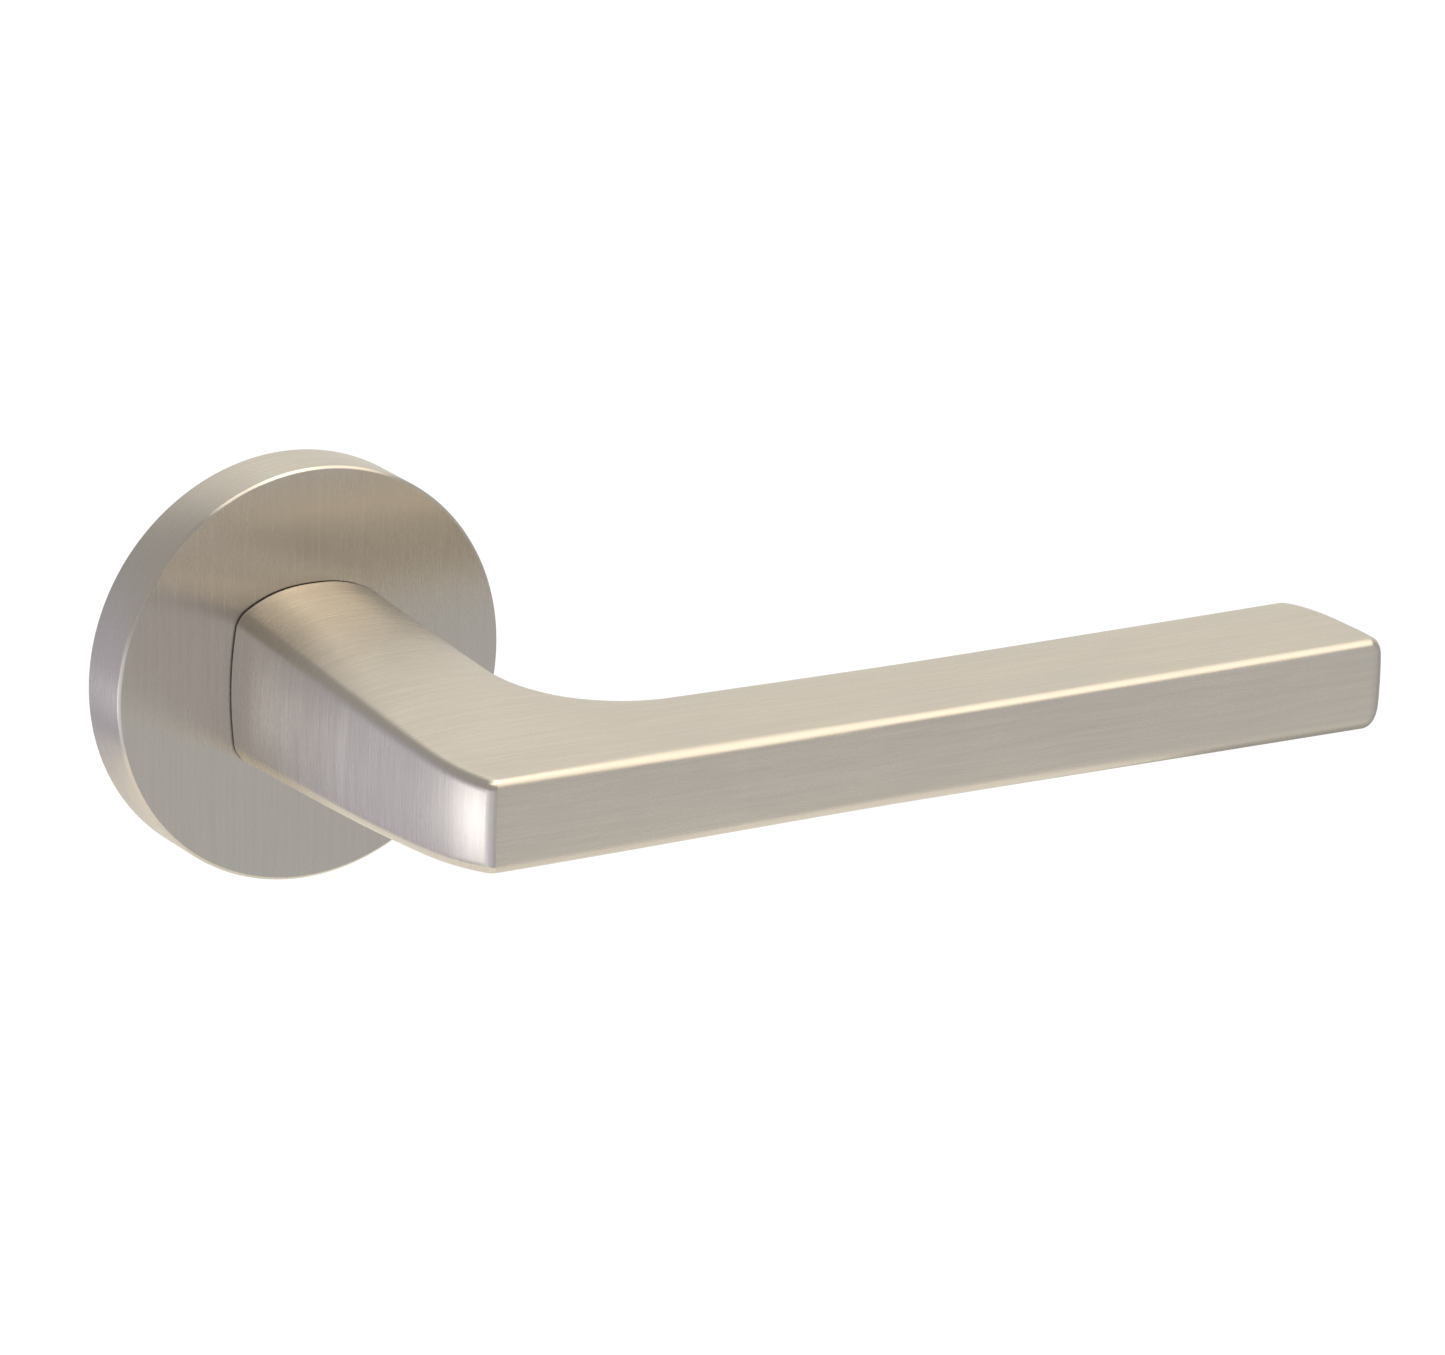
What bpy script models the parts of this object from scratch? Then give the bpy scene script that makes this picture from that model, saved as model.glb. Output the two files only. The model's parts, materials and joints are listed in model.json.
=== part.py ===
"""A sprung door lever on a round rose: one half of a door lever set.

The origin is on the spindle axis, in the plane of the door face. The door is on the +Y side, the
lever stands out along -Y and its grip runs along +X. +Z is up, and all lengths are in metres.
"""

import math

import bmesh
import bpy
import numpy as np
from mathutils import Matrix, Vector

MM = 0.001

# Rose cover: a turned cup that hides the mechanism.
ROSE_RADIUS = 26.0 * MM
ROSE_HEIGHT = 7.8 * MM
COVER_WALL = 1.2 * MM
COVER_CHAMFER = 0.3 * MM
COVER_HOLE_RADIUS = 10.0 * MM
SNAP_GROOVE_DEPTH = 0.35 * MM

# Lever plan: the neck stands on the rose and turns through the elbow into the grip.
NECK_GAP = 0.25 * MM
NECK_LEFT = -10.2 * MM
NECK_RIGHT = 10.0 * MM
NECK_BOW = 0.7 * MM
NECK_EDGE = 8.0 * MM
NECK_WIDEST = 51.4 * MM
NECK_LENGTH = 50.0 * MM
GRIP_FRONT = 66.4 * MM
GRIP_BACK = 49.2 * MM
ELBOW_RADIUS = 1.3 * MM
ELBOW_SLOPE = 0.4
FILLET_RADIUS = 14.6 * MM
FILLET_X = 24.4 * MM
TIP_X = 117.5 * MM
TIP_CROWN_RADIUS = 44.0 * MM
TIP_CROWN_Y = -65.5 * MM
TIP_ROUNDING = 2.8 * MM

# Lever heights above and below the spindle axis, at the corners of its section.
TOP_AT_ROSE = 8.5 * MM
TOP_AT_ELBOW = 5.45 * MM
BOTTOM_AT_ROSE = 8.8 * MM
BOTTOM_DROP = 3.0 * MM
BOTTOM_POWER = 1.9
GRIP_TOP = 5.22 * MM
GRIP_TOP_RISE = 0.12 * MM
GRIP_TOP_RISE_LENGTH = 72.0 * MM
GRIP_LOWEST_X = 40.0 * MM
GRIP_BACK_RISE = 0.5 * MM
GRIP_BOTTOM = 5.45 * MM
GRIP_BOTTOM_SLOPE = 0.0075
GRIP_BOTTOM_START = 10.0 * MM
GRIP_BACK_DROP = 0.3 * MM
CROWN_AT_ROSE = 3.1 * MM
CROWN_AT_GRIP = 0.2 * MM
CROWN_LENGTH = 52.0 * MM
CROWN_FADE = 0.8
CROWN_POWER = 2.4
NECK_BLEND_START = 4.0 * MM
NECK_BLEND_LENGTH = 60.0 * MM

# Section of the lever: swell of its sides, and its corner radii as outer top, inner top, inner
# bottom and outer bottom.
SWELL_AT_ROSE = 0.75 * MM
SWELL_AT_ELBOW = 0.3 * MM
SWELL_ON_GRIP = 0.25 * MM
SWELL_LENGTH = 40.0 * MM
RADII_AT_ROSE = (1.1 * MM, 1.9 * MM, 1.9 * MM, 1.3 * MM)
RADII_AT_ELBOW = (1.3 * MM, 1.8 * MM, 1.8 * MM, 1.3 * MM)
RADII_ON_GRIP = (1.0 * MM, 1.6 * MM, 1.8 * MM, 1.5 * MM)
GRIP_SLIM_SHARE = 0.3
GRIP_HALF_HEIGHT = 5.6 * MM
TIP_RADIUS_GAIN = 0.25
SMALLEST_RADIUS = 0.4 * MM

# Shank of the lever: round in the bush, flattened where it carries the driver.
SHANK_RADIUS = 8.0 * MM
SHANK_END = 3.4 * MM
SHANK_FLATS = 6.9 * MM
FLATS_START = -4.3 * MM
CLIP_GROOVE_RADIUS = 7.2 * MM
CLIP_GROOVE = (1.5 * MM, 2.7 * MM)
SOCKET_DEPTH = 35.0 * MM
SPINDLE_SIZE = 8.0 * MM
SOCKET_CLEARANCE = 0.1 * MM
SPINDLE_START = -34.0 * MM
SPINDLE_END = 28.0 * MM
SPINDLE_CHAMFER = 0.6 * MM

# Grub screw, M6 x 6 with a 3 mm hexagon socket, under the neck.
GRUB_Y = -24.0 * MM
GRUB_RADIUS = 2.9 * MM
GRUB_HOLE_RADIUS = 3.05 * MM
GRUB_TIP_Z = -4.3 * MM
GRUB_LENGTH = 6.0 * MM
GRUB_HEX_RADIUS = 1.73 * MM
GRUB_HEX_DEPTH = 3.0 * MM

# Inner rose: the die-cast base that is bolted to the door.
BASE_RADIUS = 24.4 * MM
BASE_FRONT = -6.3 * MM
BASE_BORE_RADIUS = 9.8 * MM
BUSH_SEAT_RADIUS = 11.4 * MM
BUSH_SEAT = -5.4 * MM
HUB_WALL = -4.5 * MM
HUB_RADIUS = 12.6 * MM
CHAMBER_RADIUS = 15.0 * MM
TRENCH = -5.3 * MM
RECESS_RADIUS = 22.3 * MM
RECESS = -1.3 * MM
SNAP_GROOVE = (-3.55 * MM, -2.05 * MM)
SNAP_GROOVE_RADIUS = 23.3 * MM
LUG_X = 19.0 * MM
LUG_RADIUS = 3.75 * MM
LUG_END = 5.0 * MM
LUG_BORE_RADIUS = 3.05 * MM
LUG_BORE_START = -4.6 * MM

# Stops: a fixed lug in the base runs in a notch of the driver.
TRAVEL = 45.0
STOP_HALF_ANGLE = 20.0
STOP_PLAY = 3.0
STOP_INNER_RADIUS = 10.1 * MM
STOP_OUTER_RADIUS = 11.5 * MM
STOP_END = -2.9 * MM

# Driver, keyed on the shank.
DRIVER_RADIUS = 11.6 * MM
DRIVER = (-4.2 * MM, -1.8 * MM)
DRIVER_BORE_RADIUS = 8.15 * MM
DRIVER_FLATS = 7.05 * MM
NOTCH_RADIUS = 9.7 * MM
NOTCH_END = -2.6 * MM

# Return spring: one turn of round wire with a fixed leg and a short driving end.
SPRING_RADIUS = 13.75 * MM
SPRING_WIRE = 0.9 * MM
SPRING_Y = (-4.25 * MM, -2.35 * MM)
SPRING_LEG_END = 17.8 * MM
SPRING_STUB_END = 12.7 * MM
SPRING_STEPS = 40
SPRING_SWEEP = 338.0
SPRING_BEND = 1.2 * MM
SPRING_STUB_TURN = 3.0
LEG_SLOT_HALF_WIDTH = 1.25 * MM
LEG_SLOT_END = 18.2 * MM
LEG_SLOT_FRONT = -5.25 * MM

# Bearings, washers and clip.
BUSH_BORE_RADIUS = 8.3 * MM
BUSH_RADIUS = 9.6 * MM
BUSH_FLANGE_RADIUS = 11.2 * MM
BUSH = (-7.5 * MM, -4.5 * MM)
BUSH_FLANGE = (-6.2 * MM, -5.5 * MM)
REAR_BUSH_RADIUS = 9.3 * MM
REAR_FLANGE_RADIUS = 10.4 * MM
REAR_BUSH = (-1.65 * MM, -0.15 * MM)
REAR_FLANGE_END = -1.35 * MM
WAVE_RADII = (8.5 * MM, 10.8 * MM)
WAVE_THICKNESS = 0.3 * MM
WAVE_MIDDLE = 0.35 * MM
WAVE_HEIGHT = 0.15 * MM
WAVES = 4
WASHER_RADII = (8.3 * MM, 11.2 * MM)
WASHER = (0.75 * MM, 1.45 * MM)
CLIP_RADII = (7.35 * MM, 9.9 * MM)
CLIP = (1.6 * MM, 2.6 * MM)
CLIP_GAP_HALF_WIDTH = 1.7 * MM
CLIP_EAR_RADIUS = 1.5 * MM
CLIP_EAR_HOLE_RADIUS = 0.7 * MM
CLIP_EAR_X = 3.1 * MM
CLIP_EAR_Z = 10.2 * MM
EAR_STEP = 0.08 * MM

# Spring cover and its four countersunk M2.5 screws.
PLATE_RADIUS = 22.0 * MM
PLATE = (-1.2 * MM, -0.2 * MM)
PLATE_HOLE_RADIUS = 9.5 * MM
PLATE_LUG_RADIUS = 4.05 * MM
SCREW_CIRCLE = 18.3 * MM
SCREW_ANGLES = (45.0, 135.0, 225.0, 315.0)
SCREW_HEAD_RADIUS = 2.2 * MM
SCREW_RADIUS = 1.15 * MM
SCREW_HOLE_RADIUS = 1.3 * MM
SCREW_END = -4.6 * MM
SCREW_HEAD_Y = -0.25 * MM
SINK_PLAY = 0.15 * MM
CROSS_HALF_LENGTH = 1.3 * MM
CROSS_HALF_WIDTH = 0.3 * MM
CROSS_DEPTH = 0.6 * MM

# Threaded inserts for the M4 bolts that come through the door.
INSERT_RADIUS = 3.0 * MM
INSERT_BORE_RADIUS = 1.7 * MM
INSERT = (-4.4 * MM, 4.7 * MM)

# Snap ring between the base and the cover.
SNAP_RADIUS = 24.05 * MM
SNAP_WIRE = 0.6 * MM
SNAP_Y = -2.8 * MM
SNAP_GAP_ANGLE = 14.0

GAP = 0.3 * MM
ROUND_STEPS = 48
FINE_STEPS = 72
HOLE_STEPS = 20


# ---------------------------------------------------------------------------------------------
# Small tools


def clear_scene():
    for obj in list(bpy.data.objects):
        bpy.data.objects.remove(obj, do_unlink=True)


def material(name, colour, roughness, metallic):
    made = bpy.data.materials.new(name)
    made.use_nodes = True
    shader = made.node_tree.nodes["Principled BSDF"]
    shader.inputs["Base Color"].default_value = (*colour, 1.0)
    shader.inputs["Roughness"].default_value = roughness
    shader.inputs["Metallic"].default_value = metallic
    made.diffuse_color = (*colour, 1.0)
    return made


def empty(name):
    made = bpy.data.objects.new(name, None)
    made.empty_display_size = 0.02
    bpy.context.scene.collection.objects.link(made)
    return made


def new_object(name, bm, finish=None, parent=None, sharp_angle=32.0):
    bmesh.ops.recalc_face_normals(bm, faces=bm.faces)
    mesh = bpy.data.meshes.new(name)
    bm.to_mesh(mesh)
    bm.free()
    mesh.shade_smooth()
    mesh.set_sharp_from_angle(angle=math.radians(sharp_angle))
    obj = bpy.data.objects.new(name, mesh)
    bpy.context.scene.collection.objects.link(obj)
    if finish:
        mesh.materials.append(finish)
    obj.parent = parent
    return obj


def turned_bmesh(profile, steps):
    """A closed outline of (radius, y) points spun once round the Y axis."""
    bm = bmesh.new()
    verts = [bm.verts.new((radius, y, 0.0)) for radius, y in profile]
    edges = [bm.edges.new((a, b)) for a, b in zip(verts, verts[1:] + verts[:1])]
    bmesh.ops.spin(
        bm,
        geom=verts + edges,
        cent=(0.0, 0.0, 0.0),
        axis=(0.0, 1.0, 0.0),
        angle=math.tau,
        steps=steps,
        use_merge=True,
    )
    bmesh.ops.remove_doubles(bm, verts=bm.verts, dist=1e-6)
    return bm


def turned(name, profile, finish=None, parent=None, steps=ROUND_STEPS):
    return new_object(name, turned_bmesh(profile, steps), finish, parent)


def cylinder(
    name, radius, start, end, centre=(0.0, 0.0), steps=HOLE_STEPS, axis="Y", end_radius=None
):
    """A round bar from start to end along Y, or along Z, round the given centre."""
    bm = bmesh.new()
    bmesh.ops.create_cone(
        bm,
        cap_ends=True,
        segments=steps,
        radius1=radius,
        radius2=radius if end_radius is None else end_radius,
        depth=end - start,
    )
    middle = (start + end) / 2
    if axis == "Y":
        turn = Matrix.Rotation(math.radians(-90.0), 4, "X")
        place = Vector((centre[0], middle, centre[1]))
    else:
        turn = Matrix.Identity(4)
        place = Vector((centre[0], centre[1], middle))
    bmesh.ops.transform(bm, matrix=Matrix.Translation(place) @ turn, verts=bm.verts)
    return new_object(name, bm)


def block(name, low, high):
    bm = bmesh.new()
    bmesh.ops.create_cube(bm, size=1.0)
    low = Vector(low)
    size = Vector(high) - low
    for vert in bm.verts:
        vert.co = Vector(((vert.co[i] + 0.5) * size[i] + low[i] for i in range(3)))
    return new_object(name, bm)


def sector(name, radii, y_range, angles, steps=20):
    """A slice of a ring between two radii and two angles, which run from +X towards +Z."""
    bm = bmesh.new()
    sweep = np.radians(np.linspace(angles[0], angles[1], steps + 1))
    outline = [(radii[1] * math.cos(a), radii[1] * math.sin(a)) for a in sweep]
    outline += [(radii[0] * math.cos(a), radii[0] * math.sin(a)) for a in sweep[::-1]]
    face = bm.faces.new([bm.verts.new((x, y_range[0], z)) for x, z in outline])
    lifted = bmesh.ops.extrude_face_region(bm, geom=[face])
    moved = [item for item in lifted["geom"] if isinstance(item, bmesh.types.BMVert)]
    bmesh.ops.translate(bm, verts=moved, vec=(0.0, y_range[1] - y_range[0], 0.0))
    return new_object(name, bm)


def combine(obj, other, operation):
    """Adds or cuts another object with an exact Boolean. The other stays as a hidden helper."""
    other.hide_render = True
    other.display_type = "WIRE"
    change = obj.modifiers.new(f"{operation.lower()}_{other.name}", "BOOLEAN")
    change.operation = operation
    change.solver = "EXACT"
    change.object = other
    return obj


def cut(obj, *others):
    for other in others:
        combine(obj, other, "DIFFERENCE")


def join(obj, *others):
    for other in others:
        combine(obj, other, "UNION")


def wire(name, points, radius, finish, parent, sides=2):
    """A round wire along a list of points."""
    data = bpy.data.curves.new(name, "CURVE")
    data.dimensions = "3D"
    data.bevel_depth = radius
    data.bevel_resolution = sides
    data.use_fill_caps = True
    line = data.splines.new("POLY")
    line.points.add(len(points) - 1)
    for place, point in zip(line.points, points):
        place.co = (*point, 1.0)
    data.materials.append(finish)
    obj = bpy.data.objects.new(name, data)
    bpy.context.scene.collection.objects.link(obj)
    obj.parent = parent
    return obj


def mix(start, end, amount):
    return start + (end - start) * amount


def smooth(amount):
    """Rises from 0 to 1 with no corner at either end."""
    amount = np.clip(amount, 0.0, 1.0)
    return amount * amount * (3.0 - 2.0 * amount)


# ---------------------------------------------------------------------------------------------
# The lever's form


def neck_part(depth):
    """0 where the neck meets the rose, 1 at the front of the elbow."""
    return np.clip((depth - NECK_EDGE) / (GRIP_FRONT - NECK_EDGE), 0.0, 1.0)


def neck_share(x):
    """1 over the neck, falling to 0 along the grip."""
    return 1.0 - smooth((x - NECK_BLEND_START) / NECK_BLEND_LENGTH)


def back_share(depth):
    """0 at the grip's front face, 1 at its back face."""
    return np.clip((GRIP_FRONT - depth) / (GRIP_FRONT - GRIP_BACK), 0.0, 1.0)


def top_height(x, depth):
    neck = mix(TOP_AT_ROSE, TOP_AT_ELBOW, neck_part(depth))
    rise = GRIP_TOP_RISE * ((x - GRIP_LOWEST_X) / GRIP_TOP_RISE_LENGTH) ** 2
    grip = GRIP_TOP + rise + GRIP_BACK_RISE * back_share(depth)
    return mix(grip, neck, neck_share(x))


def bottom_height(x, depth):
    neck = BOTTOM_AT_ROSE - BOTTOM_DROP * neck_part(depth) ** BOTTOM_POWER
    fall = GRIP_BOTTOM_SLOPE * np.maximum(x - GRIP_BOTTOM_START, 0.0)
    grip = GRIP_BOTTOM + fall + GRIP_BACK_DROP * back_share(depth)
    return mix(grip, neck, neck_share(x))


def crown_height(depth):
    """How far the middle of the top stands above its corners."""
    fall = np.clip((depth - NECK_EDGE) / CROWN_LENGTH, 0.0, 1.0) ** CROWN_FADE
    return mix(CROWN_AT_ROSE, CROWN_AT_GRIP, fall)


def left_side(depth):
    """How far left the neck reaches: it bows out a little, then curves in towards the elbow."""
    bow = NECK_BOW * smooth((depth - NECK_EDGE) / (NECK_WIDEST - NECK_EDGE))
    run = corner_start() - NECK_WIDEST
    turned_in = (np.maximum(depth - NECK_WIDEST, 0.0) / run) ** 3 * ELBOW_SLOPE * run / 3
    return NECK_LEFT - bow + turned_in


def corner_start():
    """Depth at which the left side runs into the tight corner of the elbow."""
    return GRIP_FRONT - ELBOW_RADIUS * (1.0 - math.sin(math.atan(ELBOW_SLOPE)))


def rounded_outline(half_width, half_height, radii, corner_steps=3, side_steps=4):
    """A rectangle with four rounded corners, as unit coordinates (across, up)."""
    points = []
    for quarter in range(4):
        radius = radii[quarter]
        across = (1, -1, -1, 1)[quarter] * (half_width - radius)
        up = (1, 1, -1, -1)[quarter] * (half_height - radius)
        turn = quarter * math.pi / 2 + np.linspace(0.0, math.pi / 2, corner_steps)
        arc = np.stack([across + radius * np.cos(turn), up + radius * np.sin(turn)], axis=1)
        points.append(arc)
    outline = []
    for quarter in range(4):
        outline.extend(points[quarter])
        start, end = points[quarter][-1], points[(quarter + 1) % 4][0]
        outline.extend(start + (end - start) * step / side_steps for step in range(1, side_steps))
    outline = np.array(outline)
    return outline[:, 0] / half_width, outline[:, 1] / half_height


def lifted(x, depth, across, up, inset=0.0):
    """Height of a point of the section: the side height and, towards the middle, the crown."""
    side = np.where(up > 0, top_height(x, depth), bottom_height(x, depth)) - inset
    return up * side + crown_height(depth) * up * (1.0 - np.abs(across) ** CROWN_POWER)


def neck_section(inner, outer, part, swell):
    """One section between an inner and an outer plan point, part of the way from rose to elbow."""
    inner, outer = np.array(inner), np.array(outer)
    middle = (inner + outer) / 2
    half = np.linalg.norm(outer - inner) / 2
    height = (top_height(middle[0], middle[1]) + bottom_height(middle[0], middle[1])) / 2
    radii = mix(np.array(RADII_AT_ROSE), np.array(RADII_AT_ELBOW), part)
    across, up = rounded_outline(half, height, radii)
    reach = across * (half + swell * (1.0 - up**2))
    way = (outer - inner) / (2 * half)
    x = middle[0] + way[0] * reach
    depth = middle[1] + way[1] * reach
    return np.stack([x, -depth, lifted(x, depth, across, up)], axis=1)


def elbow_outline():
    """Plan points round the outside of the elbow: the left side, the tight corner, the front."""
    lean = math.atan(ELBOW_SLOPE)
    depth = np.linspace(GRIP_BACK - FILLET_RADIUS, corner_start(), 11)[1:]
    side = np.stack([left_side(depth), depth], axis=1)
    turn = np.linspace(lean, math.pi / 2, 6)[1:]
    middle = np.array([side[-1, 0] + ELBOW_RADIUS * math.cos(lean), GRIP_FRONT - ELBOW_RADIUS])
    corner = middle + ELBOW_RADIUS * np.stack([-np.cos(turn), np.sin(turn)], axis=1)
    x = np.linspace(middle[0], FILLET_X, 7)[1:]
    return np.concatenate([side, corner, np.stack([x, np.full(6, GRIP_FRONT)], axis=1)])


def grip_section(share, inset, advance):
    """One section of the grip. The sections bend gradually to the shape of the end face."""
    half = (GRIP_FRONT - GRIP_BACK) / 2 - inset
    middle = (GRIP_FRONT + GRIP_BACK) / 2
    slim = smooth(share / GRIP_SLIM_SHARE)
    radii = mix(np.array(RADII_AT_ELBOW), np.array(RADII_ON_GRIP), slim)
    radii = np.maximum(radii + TIP_RADIUS_GAIN * inset, SMALLEST_RADIUS)
    across, up = rounded_outline(half, GRIP_HALF_HEIGHT - inset, radii)
    depth = middle + across * (half + SWELL_ON_GRIP * (1.0 - up**2))
    end = TIP_X - TIP_ROUNDING - (depth + TIP_CROWN_Y) ** 2 / (2 * TIP_CROWN_RADIUS)
    x = FILLET_X + (end - FILLET_X) * share + advance
    return np.stack([x, -depth, lifted(x, depth, across, up, inset)], axis=1)


def lever_sections():
    """Sections from the rose along the neck, round the elbow and along the grip to its tip."""
    centre = np.array([FILLET_X, GRIP_BACK - FILLET_RADIUS])
    start = ROSE_HEIGHT + NECK_GAP
    sections = []
    for depth in np.linspace(start, centre[1], 7):
        part = np.clip((depth - NECK_EDGE) / NECK_LENGTH, 0.0, 1.0)
        fade = np.clip((depth - NECK_EDGE) / SWELL_LENGTH, 0.0, 1.0)
        swell = mix(SWELL_AT_ROSE, SWELL_AT_ELBOW, fade)
        inward = smooth((depth - start) / (centre[1] - start))
        right = mix(NECK_RIGHT, centre[0] - FILLET_RADIUS, inward)
        sections.append(neck_section((right, depth), (left_side(depth), depth), part, swell))
    for outer in elbow_outline():
        ray = (outer - centre) / np.linalg.norm(outer - centre)
        inner = centre + FILLET_RADIUS * ray
        sections.append(neck_section(inner, outer, 1.0, SWELL_AT_ELBOW))
    sections += [grip_section(share, 0.0, 0.0) for share in np.linspace(0.0, 1.0, 10)[1:]]
    for angle in np.linspace(0.0, math.pi / 2, 5)[1:]:
        inset = TIP_ROUNDING * (1.0 - math.cos(angle))
        sections.append(grip_section(1.0, inset, TIP_ROUNDING * math.sin(angle)))
    return sections


def loft(name, sections, finish, parent):
    """A skin through closed sections of equal point count, with a flat face at each end."""
    bm = bmesh.new()
    rings = []
    for section in sections:
        verts = [bm.verts.new(point) for point in section]
        rings.append([bm.edges.new((a, b)) for a, b in zip(verts, verts[1:] + verts[:1])])
    for one, two in zip(rings, rings[1:]):
        bmesh.ops.bridge_loops(bm, edges=one + two)
    for ring in (rings[0], rings[-1]):
        end = bmesh.ops.contextual_create(bm, geom=ring)
        bmesh.ops.poke(bm, faces=end["faces"])
    return new_object(name, bm, finish, parent)


# ---------------------------------------------------------------------------------------------
# The pieces of the lever body


def make_lever(finish, parent):
    lever = loft("lever", lever_sections(), finish, parent)
    inside_neck = -ROSE_HEIGHT - 2.0 * MM
    shank = turned("lever_shank", [
        (1.0 * MM, inside_neck),
        (SHANK_RADIUS, inside_neck),
        (SHANK_RADIUS, CLIP_GROOVE[0]),
        (CLIP_GROOVE_RADIUS, CLIP_GROOVE[0]),
        (CLIP_GROOVE_RADIUS, CLIP_GROOVE[1]),
        (SHANK_RADIUS, CLIP_GROOVE[1]),
        (SHANK_RADIUS, SHANK_END),
        (1.0 * MM, SHANK_END),
    ])
    join(lever, shank)
    beyond = SHANK_END + 1.0 * MM
    for side in (1, -1):
        low, high = sorted((side * SHANK_FLATS, side * 12.0 * MM))
        flat = block(f"lever_flat_{side}", (-12 * MM, FLATS_START, low), (12 * MM, beyond, high))
        cut(lever, flat)
    half = SPINDLE_SIZE / 2 + SOCKET_CLEARANCE
    cut(
        lever,
        block("lever_socket", (-half, -SOCKET_DEPTH, -half), (half, beyond, half)),
        cylinder("lever_grub_hole", GRUB_HOLE_RADIUS, -14.0 * MM, -2.0 * MM, (0.0, GRUB_Y), axis="Z"),
    )


def make_grub_screw(finish, parent):
    head_z = GRUB_TIP_Z - GRUB_LENGTH
    screw = cylinder("grub_screw", GRUB_RADIUS, head_z, GRUB_TIP_Z, (0.0, GRUB_Y), axis="Z")
    screw.data.materials.append(finish)
    screw.parent = parent
    edge = screw.modifiers.new("edges", "BEVEL")
    edge.width = 0.4 * MM
    edge.segments = 1
    edge.limit_method = "ANGLE"
    below = head_z - 1.0 * MM
    top = head_z + GRUB_HEX_DEPTH
    cut(screw, cylinder("grub_hexagon", GRUB_HEX_RADIUS, below, top, (0.0, GRUB_Y), 6, "Z"))


def make_spindle(finish, parent):
    half = SPINDLE_SIZE / 2
    spindle = block("spindle", (-half, SPINDLE_START, -half), (half, SPINDLE_END, half))
    spindle.data.materials.append(finish)
    spindle.parent = parent
    edge = spindle.modifiers.new("edges", "BEVEL")
    edge.width = SPINDLE_CHAMFER
    edge.segments = 1
    edge.limit_method = "ANGLE"


def make_driver(finish, parent):
    driver = turned("spring_driver", [
        (1.0 * MM, DRIVER[0]),
        (DRIVER_RADIUS, DRIVER[0]),
        (DRIVER_RADIUS, DRIVER[1]),
        (1.0 * MM, DRIVER[1]),
    ], finish, parent)
    front, back = DRIVER[0] - GAP, DRIVER[1] + GAP
    bore = cylinder("driver_bore", DRIVER_BORE_RADIUS, front, back, steps=48)
    for side in (1, -1):
        low, high = sorted((side * DRIVER_FLATS, side * 12.0 * MM))
        flat = block(f"driver_flat_{side}", (-12 * MM, front - GAP, low), (12 * MM, back + GAP, high))
        cut(bore, flat)
    start = 90.0 - STOP_HALF_ANGLE - STOP_PLAY
    end = 90.0 + STOP_HALF_ANGLE + STOP_PLAY + TRAVEL
    notch = sector(
        "driver_notch",
        (NOTCH_RADIUS, DRIVER_RADIUS + 1.0 * MM),
        (front, NOTCH_END),
        (start, end),
    )
    cut(driver, bore, notch)


def make_thrust_washer(finish, parent):
    inner, outer = WASHER_RADII
    front, back = WASHER
    profile = [(inner, front), (outer, front), (outer, back), (inner, back)]
    turned("thrust_washer", profile, finish, parent)


def make_wave_washer(finish, parent):
    """A thin ring whose height follows a sine wave round the shank."""
    steps = 64
    bm = bmesh.new()
    rings = []
    for step in range(steps):
        angle = math.tau * step / steps
        middle = WAVE_MIDDLE + WAVE_HEIGHT * math.sin(WAVES * angle)
        corners = ((0, -1), (1, -1), (1, 1), (0, 1))
        ring = []
        for radius, side in corners:
            x = WAVE_RADII[radius] * math.cos(angle)
            z = WAVE_RADII[radius] * math.sin(angle)
            ring.append(bm.verts.new((x, middle + side * WAVE_THICKNESS / 2, z)))
        rings.append(ring)
    for one, two in zip(rings, rings[1:] + rings[:1]):
        for corner in range(4):
            after = (corner + 1) % 4
            bm.faces.new((one[corner], one[after], two[after], two[corner]))
    new_object("wave_washer", bm, finish, parent)


def make_retaining_ring(finish, parent):
    inner, outer = CLIP_RADII
    front, back = CLIP
    profile = [(inner, front), (outer, front), (outer, back), (inner, back)]
    ring = turned("retaining_ring", profile, finish, parent)
    for side in (1, -1):
        centre = (side * CLIP_EAR_X, CLIP_EAR_Z)
        ear = cylinder(f"clip_ear_{side}", CLIP_EAR_RADIUS, front + EAR_STEP, back - EAR_STEP, centre)
        join(ring, ear)
    gap = CLIP_GAP_HALF_WIDTH
    reach = CLIP_EAR_Z + CLIP_EAR_RADIUS
    cut(ring, block("clip_gap", (-gap, front - GAP, 0.0), (gap, back + GAP, reach + 1.0 * MM)))
    for side in (1, -1):
        centre = (side * CLIP_EAR_X, CLIP_EAR_Z)
        start, end = front - GAP, back + GAP
        cut(ring, cylinder(f"clip_hole_{side}", CLIP_EAR_HOLE_RADIUS, start, end, centre, 12))


# ---------------------------------------------------------------------------------------------
# The pieces of the rose body


def make_rose_cover(finish, parent):
    inside = ROSE_RADIUS - COVER_WALL
    groove = inside + SNAP_GROOVE_DEPTH
    face_back = -ROSE_HEIGHT + COVER_WALL
    turned("rose_cover", [
        (ROSE_RADIUS, 0.0),
        (ROSE_RADIUS, -ROSE_HEIGHT + COVER_CHAMFER),
        (ROSE_RADIUS - COVER_CHAMFER, -ROSE_HEIGHT),
        (COVER_HOLE_RADIUS, -ROSE_HEIGHT),
        (COVER_HOLE_RADIUS, face_back),
        (inside, face_back),
        (inside, SNAP_GROOVE[0]),
        (groove, SNAP_GROOVE[0]),
        (groove, SNAP_GROOVE[1]),
        (inside, SNAP_GROOVE[1]),
        (inside, 0.0),
    ], finish, parent, FINE_STEPS)


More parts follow.
